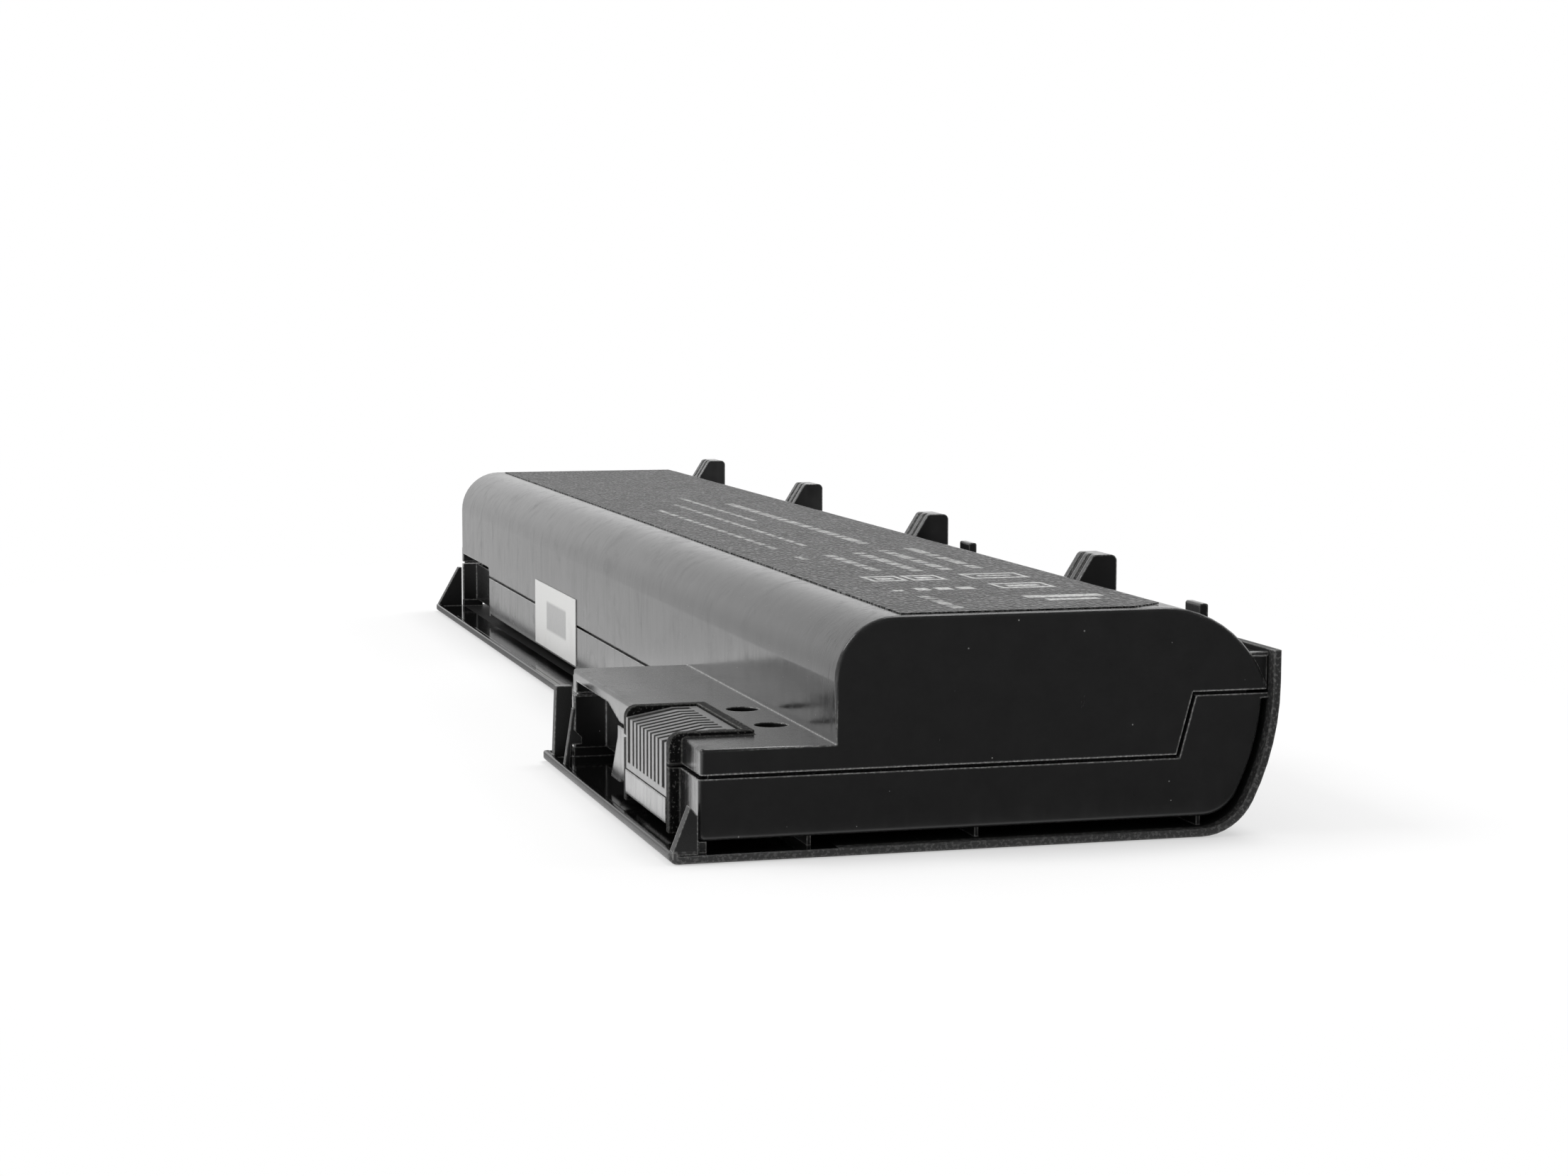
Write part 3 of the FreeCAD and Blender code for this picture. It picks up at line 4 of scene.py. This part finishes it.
import bmesh
import bpy
from mathutils import Euler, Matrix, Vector


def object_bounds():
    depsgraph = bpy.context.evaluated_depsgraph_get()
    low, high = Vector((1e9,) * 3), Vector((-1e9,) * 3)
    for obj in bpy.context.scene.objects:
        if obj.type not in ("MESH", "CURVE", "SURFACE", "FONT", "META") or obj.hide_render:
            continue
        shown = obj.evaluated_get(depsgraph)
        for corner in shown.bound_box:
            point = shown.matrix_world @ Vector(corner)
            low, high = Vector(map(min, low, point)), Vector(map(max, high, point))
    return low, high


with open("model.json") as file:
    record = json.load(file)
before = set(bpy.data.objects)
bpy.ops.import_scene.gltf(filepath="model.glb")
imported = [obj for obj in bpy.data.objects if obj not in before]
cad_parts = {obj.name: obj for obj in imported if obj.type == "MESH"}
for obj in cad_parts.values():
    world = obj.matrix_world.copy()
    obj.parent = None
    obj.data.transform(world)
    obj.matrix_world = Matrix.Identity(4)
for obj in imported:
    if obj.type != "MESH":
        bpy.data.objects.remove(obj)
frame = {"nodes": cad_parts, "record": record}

# A laptop battery on a white floor. Lengths are in metres; patterns are laid out in millimetres.

MM = 0.001
CAD_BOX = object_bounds()
CAD_HALF_X = CAD_BOX[1][0] / MM
CAD_HALF_Y = CAD_BOX[1][1] / MM


class Term:
    """A number or a vector that a material works out."""

    def __init__(self, finish, socket):
        self.finish = finish
        self.socket = socket

    def __add__(self, other):
        return self.finish.maths("ADD", self, other)

    __radd__ = __add__

    def __sub__(self, other):
        return self.finish.maths("SUBTRACT", self, other)

    def __rsub__(self, other):
        return self.finish.maths("SUBTRACT", other, self)

    def __mul__(self, other):
        return self.finish.maths("MULTIPLY", self, other)

    __rmul__ = __mul__

    def __truediv__(self, other):
        return self.finish.maths("DIVIDE", self, other)

    def __gt__(self, other):
        return self.finish.maths("GREATER_THAN", self, other)

    def __lt__(self, other):
        return self.finish.maths("LESS_THAN", self, other)

    def __abs__(self):
        return self.finish.maths("ABSOLUTE", self)

    def clamped(self):
        return self.finish.node("Clamp", {}, {"Value": self})

    def over(self, low, high):
        """0 below low, 1 above high, and a ramp between."""
        return ((self - low) * (1 / (high - low))).clamped()


class Finish:
    """One procedural material, read in the object's own millimetres."""

    def __init__(self, name, tree=None):
        if tree is None:
            self.material = bpy.data.materials.new(name)
            self.material.use_nodes = True
            tree = self.material.node_tree
        self.tree = tree
        self.tree.nodes.clear()

    def node(self, kind, settings, sockets, output=0):
        """A node of any kind: its settings come first, then the values or links of its sockets."""
        made = self.tree.nodes.new("ShaderNode" + kind)
        for name, value in settings.items():
            setattr(made, name, value)
        for name, value in sockets.items():
            self.fill(made.inputs[name], value)
        return Term(self, made.outputs[output]) if made.outputs else None

    def fill(self, socket, value):
        if isinstance(value, Term):
            self.tree.links.new(value.socket, socket)
        elif isinstance(value, (tuple, list)) and socket.type == "RGBA":
            socket.default_value = (*value, 1)
        else:
            socket.default_value = value

    def maths(self, operation, *values):
        return self.node("Math", {"operation": operation}, dict(enumerate(values)))

    def larger(self, first, second):
        return self.maths("MAXIMUM", first, second)

    def place(self, stretch=(1, 1, 1), shift=(0, 0, 0)):
        """The point in millimetres, stretched and moved."""
        point = self.node("TexCoord", {}, {}, "Object")
        scale = tuple(value / MM for value in stretch)
        sockets = {"Vector": point, "Scale": scale, "Location": shift}
        return self.node("Mapping", {"vector_type": "POINT"}, sockets)

    def axes(self):
        point = self.place()
        return [self.node("SeparateXYZ", {}, {"Vector": point}, index) for index in range(3)]

    def grain(self, size, detail=2.0, rough=0.55, stretch=(1, 1, 1), shift=(0, 0, 0), warp=0.0):
        """Noise whose lumps are about so many millimetres across."""
        sockets = {"Vector": self.place(stretch, shift), "Scale": 1 / size, "Detail": detail,
                   "Roughness": rough, "Distortion": warp}
        return self.node("TexNoise", {}, sockets)

    def cells(self, size, feature="F1", output="Distance", stretch=(1, 1, 1), shift=(0, 0, 0)):
        sockets = {"Vector": self.place(stretch, shift), "Scale": 1 / size}
        return self.node("TexVoronoi", {"feature": feature}, sockets, output)

    def specks(self, size, share, radius, shift=(0, 0, 0)):
        """Small round dots in a share of the cells of that size, with their radius in cells."""
        distance = self.cells(size, shift=shift)
        chance = self.node("SeparateXYZ", {}, {"Vector": self.cells(size, output="Color", shift=shift)})
        return (distance < radius) * (chance > 1 - share)

    def blend(self, first, second, share):
        """A colour between two colours."""
        return self.node("Mix", {"data_type": "RGBA"}, {0: share, 6: first, 7: second}, 2)

    def soft_edges(self, radius):
        return self.node("Bevel", {"samples": 6}, {"Radius": radius * MM})

    def facing(self, axis):
        """How far the flat face points along an axis, from -1 to 1."""
        normal = self.node("NewGeometry", {}, {}, "True Normal")
        return self.node("SeparateXYZ", {}, {"Vector": normal}, axis)

    def worn_and_highlit_edges(self, edge, size):
        """A thin pale line with brighter specks along the sharp edges that the soft edge rounds off: partly
        edge wear, partly a painted edge highlight.
        """
        flat = self.node("NewGeometry", {}, {}, "True Normal")
        turned = self.node("VectorMath", {"operation": "DOT_PRODUCT"}, {0: edge, 1: flat}, "Value")
        return (1 - turned).over(0.02, 0.12) * (0.45 + 0.55 * self.grain(size, 2).over(0.48, 0.56))

    def relief(self, height, depth, normal=None):
        """Bump of a depth in millimetres, laid over the given normal."""
        sockets = {"Height": height, "Distance": depth * MM, "Strength": 1.0}
        if normal is not None:
            sockets["Normal"] = normal
        return self.node("Bump", {}, sockets)

    def shader(self, **sockets):
        named = {name.replace("_", " "): value for name, value in sockets.items()}
        return self.node("BsdfPrincipled", {}, named)

    def done(self, shader):
        self.node("OutputMaterial", {}, {"Surface": shader})
        return self.material

    def surface(self, **sockets):
        return self.done(self.shader(**sockets))

    def patched(self, ground, patch, share):
        """One shader with a patch of another."""
        return self.done(self.node("MixShader", {}, {0: share, 1: ground, 2: patch}))


def bar(f, x, y, box, soft=0.15):
    """A soft-edged rectangle, given as its low x, high x, low y and high y."""
    x_low, x_high, y_low, y_high = box
    across = (x_high - x_low) / 2 - abs(x - (x_low + x_high) / 2)
    along = (y_high - y_low) / 2 - abs(y - (y_low + y_high) / 2)
    return (across / soft).clamped() * (along / soft).clamped()


def ring(f, x, y, box, line):
    """The outline of a rectangle, with a line of that width."""
    x_low, x_high, y_low, y_high = box
    inner = (x_low + line, x_high - line, y_low + line * 2, y_high - line * 2)
    return (bar(f, x, y, box) - bar(f, x, y, inner)).clamped()


# Fields of the case, in its own millimetres: the spark-eroded frame round the connector (x and y), the
# polished bar below it (y and z) and the shelf's worn top (x and z)
BAY_FRAME = (-29.4, -20.2, -98.0, -78.2)
BAY_BAR = (-96.8, -79.4, 1.9, 4.7)
SHELF_TOP = (-27.8, -14.5, 10.0, 11.2)


def satin_shell():
    """Near-black satin moulding: flow marks, upright streaks, dust, worn edges with a painted highlight,
    a glossier shelf top and a grainy bay frame with painted glints."""
    f = Finish("satin_shell")
    x, y, z = f.axes()
    bay = bar(f, x, y, BAY_FRAME, 0.05) * (1 - bar(f, y, z, BAY_BAR, 0.05))
    shelf = bar(f, x, z, SHELF_TOP, 0.05) * f.facing(2).over(0.5, 0.9)
    flow = f.grain(14, 3, 0.6)
    pores = f.grain(0.10, 2, 0.6)
    near_end = y.over(-104.9, -104.7) * (1 - y.over(-101, -84))
    streaks = f.grain(1.0, 4, 0.7, stretch=(1.0, 1.4, 0.05))
    smudge = f.grain(7, 4, 0.65, warp=1.5).over(0.5, 0.75)
    dust = f.specks(1.3, 0.14, 0.06) + f.specks(2.3, 0.20, 0.04, (3, 5, 7))
    edge = f.soft_edges(0.30)
    # Pale line and specks along the edges: partly wear, partly a painted edge highlight
    pale_edge_specks = f.worn_and_highlit_edges(edge, 0.30)
    normal = f.relief(pores, 0.0008, edge)
    normal = f.relief(flow, 0.06, normal)
    normal = f.relief(streaks * (1 + 3 * near_end), 0.005, normal)
    normal = f.relief(dust, 0.01, normal)
    base = f.blend((0.012, 0.012, 0.0122), (0.019, 0.019, 0.0192), f.grain(3, 3))
    base = f.blend(base, (0.52, 0.52, 0.51), (dust * 0.35 + pale_edge_specks * 0.9).clamped())
    gloss = 0.12 + 0.06 * flow + 0.10 * smudge + 0.3 * dust + 0.10 * shelf
    gloss = gloss + (0.10 + 0.10 * near_end) * streaks.over(0.5, 0.75)
    satin = f.shader(Base_Color=base, Roughness=gloss, Normal=normal, IOR=1.5,
                     Coat_Weight=shelf * x.over(-27, -19), Coat_Roughness=0.15, Coat_IOR=1.5)
    pits = f.grain(0.24, 3, 0.7)
    # Painted glints: pale specks on the peaks of the frame's grain, and the pale edge line
    painted_glints = (pits.over(0.58, 0.64) * 0.6 + pale_edge_specks).clamped()
    grainy = f.shader(Base_Color=f.blend((0.005, 0.005, 0.005), (0.22, 0.22, 0.21), painted_glints),
                      Roughness=0.55 + 0.2 * pits, Normal=f.relief(pits, 0.10, edge), IOR=1.22)
    return f.patched(satin, grainy, bay)


# The cover, in millimetres: how far right its smooth flange reaches (its top painted darker as shade), how
# high the flange is, and how far from the middle its lighter, pale-specked end lips begin
FLANGE_RIGHT = -14.4
FLANGE_TOP = 1.15
LIP_START = 104.7


def textured_cover():
    """Fine spark-eroded black moulding, glossy and painted darker as shade on top of its flange,
    with worn edges that carry a painted edge highlight, and lighter, pale-specked end lips.
    """
    f = Finish("textured_cover")
    x, y, z = f.axes()
    pits = f.grain(0.22, 3, 0.65)
    clouds = f.grain(9, 3)
    dust = f.specks(0.9, 0.22, 0.07) + f.specks(1.9, 0.2, 0.05, (2, 4, 1))
    edge = f.soft_edges(0.24)
    # The cover's ends, made lighter, with pale specks
    lip = (abs(y) > LIP_START) * f.larger(z < FLANGE_TOP, x > FLANGE_RIGHT)
    pale_edge_specks = lip * f.grain(0.35, 2).over(0.52, 0.60)
    base = f.blend((0.010, 0.010, 0.010), (0.017, 0.017, 0.017), clouds)
    base = f.blend(base, (0.030, 0.030, 0.030), lip)
    # Pale edge line: partly wear, partly a painted edge highlight; pale specks on the end lips
    base = f.blend(base, (0.45, 0.45, 0.44), (dust * 0.35 + pale_edge_specks * 0.15 + f.worn_and_highlit_edges(edge, 0.28)).clamped())
    grainy = f.shader(Base_Color=base, Roughness=0.36 + 0.14 * clouds + 0.2 * pits,
                      Normal=f.relief(pits, 0.025, edge), IOR=1.42)
    # The flange's top: glossy, its colour painted near black as shade
    shaded_polish = f.shader(Base_Color=f.blend((0.004, 0.004, 0.004), (0.30, 0.30, 0.29), dust * 0.4),
                        Roughness=0.07 + 0.05 * clouds, Normal=f.relief(clouds, 0.02, edge), IOR=1.52)
    return f.patched(grainy, shaded_polish, f.facing(2).over(0.4, 0.8) * (x < FLANGE_RIGHT))


def connector_plastic():
    """Dark grey glass-filled moulding with fine flow lines along its fins, and worn fin edges
    that carry a painted edge highlight.
    """
    f = Finish("connector_moulding")
    fibres = f.grain(0.3, 3, 0.6, stretch=(1, 1, 0.15))
    clouds = f.grain(2.5, 3)
    edge = f.soft_edges(0.12)
    normal = f.relief(fibres, 0.012, edge)
    base = f.blend((0.100, 0.100, 0.101), (0.155, 0.155, 0.155), clouds)
    # Pale fin edges: partly wear, partly a painted edge highlight
    base = f.blend(base, (0.45, 0.45, 0.44), f.worn_and_highlit_edges(edge, 0.3) * 0.6)
    return f.surface(Base_Color=base, Roughness=0.27 + 0.14 * fibres, Normal=normal, IOR=1.54)


# The label's print, as low x, high x, low y and high y in the case's own millimetres
FRAMES = [
    (-1.6, 2.4, -75.8, -70.6), (2.8, 6.8, -75.8, -70.6),
    (9.4, 16.0, -75.6, -70.3), (9.2, 15.2, -85.4, -80.4),
]
FRAME_LINE = 0.45
BARS = [
    (10.8, 14.6, -73.4, -72.4), (-2.4, -1.2, -85.4, -84.2), (0.2, 1.8, -85.2, -82.8),
    (2.4, 4.2, -85.2, -82.8), (4.8, 6.6, -85.2, -82.8), (8.5, 16.8, -94.4, -92.2),
    (9.8, 15.4, -97.0, -95.4), (-0.6, 1.4, -74.2, -72.4), (3.8, 5.8, -74.2, -72.4),
    (10.4, 14.0, -83.9, -82.2),
]
COLUMNS = [
    (-1.7, -0.3, -101.4, -90.0), (1.5, 3.0, -65.7, -46.2), (5.6, 7.2, -66.6, -44.4),
    (9.2, 10.8, -66.1, -42.4), (13.0, 14.6, -65.7, -40.4), (-2.3, -1.2, -51.1, -46.5),
    (-2.0, -1.0, -38.0, 22.0), (2.4, 3.4, -36.0, 30.0), (6.0, 7.0, 0.0, 42.0),
    (9.8, 11.4, -34.0, 30.0),
]
DASH_LENGTH = 1.6


def label_film():
    """Leather-grained grey film, its creases painted dark as shade, with pale print in bars, frames
    and broken columns.
    """
    f = Finish("label_film")
    x, y, _ = f.axes()
    print_mask = bar(f, x, y, BARS[0])
    for box in BARS[1:]:
        print_mask = f.larger(print_mask, bar(f, x, y, box))
    for box in FRAMES:
        print_mask = f.larger(print_mask, ring(f, x, y, box, FRAME_LINE))
    for index, box in enumerate(COLUMNS):
        dashes = f.grain(DASH_LENGTH, 1, 0.5, stretch=(0, 1, 0), shift=(0, 7 * index, 0))
        print_mask = f.larger(print_mask, bar(f, x, y, box, 0.3) * dashes.over(0.44, 0.50) * 0.7)
    creases = f.cells(1.0, "DISTANCE_TO_EDGE", stretch=(1.6, 0.8, 1)).over(0.0, 0.3)
    lumps = f.grain(1.0, 3, 0.65, stretch=(1.6, 0.75, 1), warp=0.6)
    normal = f.relief(creases * 0.6 + lumps * 0.6, 0.9)
    worn = f.grain(0.5, 2).over(0.35, 0.6)
    # Painted shade: the grain's creases darkened, its ridges left lighter
    painted_crease_shade = (creases * 0.6 + lumps * 0.8).over(0.57, 1.0)
    base = f.blend((0.003, 0.003, 0.003), (0.14, 0.14, 0.14), painted_crease_shade)
    base = f.blend(base, (0.80, 0.80, 0.79), print_mask * (0.6 + 0.4 * worn))
    gloss = 0.36 + 0.12 * f.grain(5, 3) - 0.08 * print_mask
    return f.surface(Base_Color=base, Roughness=gloss, Normal=normal, IOR=1.5)


# The sticker's grey field, as low y, high y, low z and high z
STICKER_FIELD = (20.2, 33.9, 5.0, 9.3)


def sticker_paper():
    """White coated paper with a pale grey field."""
    f = Finish("sticker_paper")
    _, y, z = f.axes()
    field = bar(f, y, z, STICKER_FIELD, 0.4)
    fibres = f.grain(0.4, 3, 0.6)
    soil = f.grain(6, 4, 0.6).over(0.5, 0.8)
    base = f.blend((0.66, 0.66, 0.65), (0.54, 0.54, 0.53), soil)
    base = f.blend(base, (0.36, 0.36, 0.36), field * (0.75 + 0.25 * fibres))
    normal = f.relief(fibres, 0.02)
    return f.surface(Base_Color=base, Roughness=0.42 + 0.1 * fibres, Normal=normal)


def plated_metal(name, pale, dark, streak_way, gloss):
    """Drawn or rolled metal with streaks one way, stains and small dents."""
    f = Finish(name)
    streaks = f.grain(0.25, 4, 0.6, stretch=streak_way)
    stains = f.grain(4, 4, 0.6).over(0.45, 0.7)
    base = f.blend(pale, dark, stains * 0.6)
    normal = f.relief(streaks, 0.006, f.soft_edges(0.1))
    rough = gloss + 0.2 * streaks + 0.1 * stains
    return f.surface(Base_Color=base, Roughness=rough, Metallic=1.0, Normal=normal)


def matt_skin(name, pale, dark, size, depth, gloss):
    """Paper, foam, resin, laminate or insulation: cloudy colour over a fine relief."""
    f = Finish(name)
    fine = f.grain(size, 3, 0.6)
    clouds = f.grain(size * 9, 3)
    base = f.blend(pale, dark, fine * 0.5 + clouds * 0.5)
    normal = f.relief(fine, depth, f.soft_edges(0.08))
    return f.surface(Base_Color=base, Roughness=gloss + 0.15 * clouds, Normal=normal)


def board_laminate():
    """Green solder mask with raised tracks and a woven glass ground."""
    f = Finish("board_laminate")
    weave = f.grain(0.35, 2)
    tracks = f.cells(2.2, "DISTANCE_TO_EDGE").over(0.05, 0.09)
    base = f.blend((0.035, 0.20, 0.08), (0.012, 0.10, 0.035), tracks)
    base = f.blend(base, (0.01, 0.07, 0.03), weave * 0.3)
    normal = f.relief(tracks, 0.02, f.relief(weave, 0.006))
    return f.surface(Base_Color=base, Roughness=0.3 + 0.15 * weave, Normal=normal)


SHELL = satin_shell()
COVER = textured_cover()
CONNECTOR = connector_plastic()
STEEL = plated_metal("cell_steel", (0.62, 0.61, 0.59), (0.44, 0.43, 0.41), (1, 0.1, 1), 0.22)
NICKEL = plated_metal("strap_nickel", (0.66, 0.64, 0.60), (0.50, 0.48, 0.45), (0.1, 1, 1), 0.25)
SPRING = plated_metal("contact_metal", (0.83, 0.66, 0.36), (0.66, 0.50, 0.26), (1, 1, 0.2), 0.2)
SLEEVE = matt_skin("sleeve_film", (0.03, 0.22, 0.27), (0.02, 0.15, 0.19), 0.8, 0.01, 0.18)
PAPER = matt_skin("insulating_paper", (0.55, 0.47, 0.33), (0.44, 0.37, 0.25), 0.35, 0.03, 0.75)
FOAM = matt_skin("foam_rubber", (0.045, 0.045, 0.045), (0.02, 0.02, 0.02), 0.25, 0.12, 0.85)
RESIN = matt_skin("chip_resin", (0.020, 0.020, 0.021), (0.012, 0.012, 0.012), 0.12, 0.012, 0.45)
FUSE = matt_skin("fuse_ceramic", (0.76, 0.74, 0.68), (0.66, 0.64, 0.58), 0.2, 0.01, 0.35)
CAPACITOR = matt_skin("capacitor_ceramic", (0.36, 0.24, 0.14), (0.27, 0.18, 0.10), 0.15, 0.01, 0.35)
RED = matt_skin("power_insulation", (0.42, 0.02, 0.02), (0.33, 0.015, 0.015), 0.6, 0.01, 0.38)
YELLOW = matt_skin("sense_insulation", (0.58, 0.50, 0.08), (0.48, 0.41, 0.06), 0.6, 0.01, 0.38)
BEAD = matt_skin("thermistor_resin", (0.03, 0.03, 0.035), (0.018, 0.018, 0.02), 0.5, 0.02, 0.16)

FINISHES = {
    "cover_plastic": COVER,
    "shell_plastic": SHELL,
    "connector_plastic": CONNECTOR,
    "contact_metal": SPRING,
    "board_laminate": board_laminate(),
    "chip_resin": RESIN,
    "fuse_ceramic": FUSE,
    "capacitor_ceramic": CAPACITOR,
    "strap_nickel": NICKEL,
    "insulating_paper": PAPER,
    "foam_rubber": FOAM,
    "power_lead_sleeve": RED,
    "sense_lead_sleeve": YELLOW,
    "thermistor_resin": BEAD,
    "label_film": label_film(),
    "sticker_paper": sticker_paper(),
    "cell_steel": STEEL,
    "cell_sleeve_film": SLEEVE,
}


def dress_nodes():
    """Give every node the finish of its slot in the record."""
    for part in frame["record"]["subparts"]:
        node = frame["nodes"][part["node"]]
        for slot in node.material_slots:
            slot.material = FINISHES[part["material_slot"]]


def flat_square(name, half, height):
    mesh = bpy.data.meshes.new(name)
    shape = bmesh.new()
    bmesh.ops.create_grid(shape, x_segments=1, y_segments=1, size=half)
    bmesh.ops.translate(shape, verts=shape.verts, vec=(0, 0, height))
    shape.to_mesh(mesh)
    shape.free()
    made = bpy.data.objects.new(name, mesh)
    bpy.context.scene.collection.objects.link(made)
    return made


# The floor's half width and height in metres. Then, in millimetres: how far from the case the shadow fades to
# plain white, and where the floor turns bright in reflections, along y and to the left of the middle
FLOOR_HALF = 3.0
FLOOR_HEIGHT = -0.0001
SHADOW_FADE = (5, 80)
BRIGHT_ALONG_Y = (-118, -100)
BRIGHT_TO_LEFT = (50, 90)


def studio_floor():
    """A white floor that keeps a soft shadow; in reflections it is bright beside and behind the case."""
    floor = flat_square("studio_floor", FLOOR_HALF, FLOOR_HEIGHT)
    f = Finish("white_floor")
    texture = f.grain(60, 2)
    base = f.blend((0.90, 0.90, 0.90), (0.93, 0.93, 0.93), texture)
    diffuse = f.node("BsdfDiffuse", {}, {"Color": base})
    x, y, _ = f.axes()
    beside = f.larger(abs(x) - CAD_HALF_X, 0.0)
    beyond = f.larger(abs(y) - CAD_HALF_Y, 0.0)
    away = f.maths("SQRT", beside * beside + beyond * beyond).over(*SHADOW_FADE)
    camera_ray = f.node("LightPath", {}, {}, "Is Camera Ray")
    gloss_ray = f.node("LightPath", {}, {}, "Is Glossy Ray")
    lift = f.node("Emission", {}, {"Color": (1.0, 1.0, 1.0), "Strength": 1.0})
    lifted = f.node("MixShader", {}, {0: 0.5 + 0.5 * away, 1: diffuse, 2: lift})
    lit = f.larger(y.over(*BRIGHT_ALONG_Y), (0 - x).over(*BRIGHT_TO_LEFT))
    glow = 0.90 + 0.80 * (1 - y.over(-60, 50)) - 0.16 * y.over(20, 170)
    mirrored = f.node("Emission", {}, {"Color": (1.0, 1.0, 1.0), "Strength": 0.11 + lit * glow})
    seen = f.node("MixShader", {}, {0: gloss_ray, 1: diffuse, 2: mirrored})
    mixed = f.node("MixShader", {}, {0: camera_ray, 1: seen, 2: lifted})
    f.node("OutputMaterial", {}, {"Surface": mixed})
    floor.data.materials.append(f.material)


def studio_world():
    """White where the camera looks; for light and gloss, bright behind and beside, dim in front."""
    world = bpy.data.worlds.new("studio")
    world.use_nodes = True
    bpy.context.scene.world = world
    f = Finish("studio", world.node_tree)
    way = f.node("TexCoord", {}, {}, "Generated")
    sideways = f.node("SeparateXYZ", {}, {"Vector": way}, 0)
    front = f.node("SeparateXYZ", {}, {"Vector": way}, 1)
    upward = f.node("SeparateXYZ", {}, {"Vector": way}, 2)
    behind = f.larger(front.over(-0.45, 0.25), (0 - sideways).over(0.45, 0.8))
    light = 0.30 + 0.35 * behind
    height = 0.84 + 0.16 * upward.over(0, 0.15) - 0.24 * upward.over(0.15, 0.4)
    gloss = 0.15 + 0.85 * behind * height
    gloss_ray = f.larger(f.node("LightPath", {}, {}, "Is Glossy Ray"),
                         f.node("LightPath", {}, {}, "Is Transmission Ray"))
    camera_ray = f.node("LightPath", {}, {}, "Is Camera Ray")
    seen = light + (gloss - light) * gloss_ray
    strength = f.larger(seen, camera_ray)
    background = f.node("Background", {}, {"Color": (1.0, 1.0, 1.0), "Strength": strength})
    f.node("OutputWorld", {}, {"Surface": background})


# Each lamp's name, place, width and height in metres, and watts; all of them face the origin
LAMPS = [
    ("left_softbox", (-0.66, 0.08, 0.62), 0.40, 0.35, 3.2),
    ("top_softbox", (0.30, 0.08, 0.90), 0.40, 0.40, 3.5),
    ("right_softbox", (0.85, 0.10, 0.45), 0.70, 0.60, 2.0),
]


def soft_lamp(name, place, width, height, watts):
    data = bpy.data.lights.new(name, "AREA")
    data.shape = "RECTANGLE"
    data.size = width
    data.size_y = height
    data.energy = watts
    lamp = bpy.data.objects.new(name, data)
    lamp.location = place
    lamp.rotation_euler = (-Vector(place)).to_track_quat("-Z", "Y").to_euler()
    bpy.context.scene.collection.objects.link(lamp)


# The photograph's camera: place in metres, sensor and lens in millimetres, angles in degrees
CAMERA_PLACE = (-0.092725, -0.363578, 0.053916)
SENSOR_WIDTH = 36.0
LENS = 66.92
DIP = 6.066
TURN = -15.807
ROLL = 0.137


def photo_camera():
    """The camera where it stood for the photograph."""
    data = bpy.data.cameras.new("camera")
    data.sensor_width = SENSOR_WIDTH
    data.lens = LENS
    data.clip_start = 0.01
    camera = bpy.data.objects.new("camera", data)
    camera.location = CAMERA_PLACE
    tilt = math.radians(90 - DIP)
    turn = math.radians(TURN)
    roll = math.radians(ROLL)
    looking = Euler((tilt, 0, turn)).to_matrix() @ Euler((0, 0, roll)).to_matrix()
    camera.rotation_euler = looking.to_euler()
    bpy.context.scene.collection.objects.link(camera)
    bpy.context.scene.camera = camera


dress_nodes()
studio_floor()
studio_world()
for lamp_row in LAMPS:
    soft_lamp(*lamp_row)
photo_camera()

bpy.context.scene.view_settings.view_transform = "Standard"
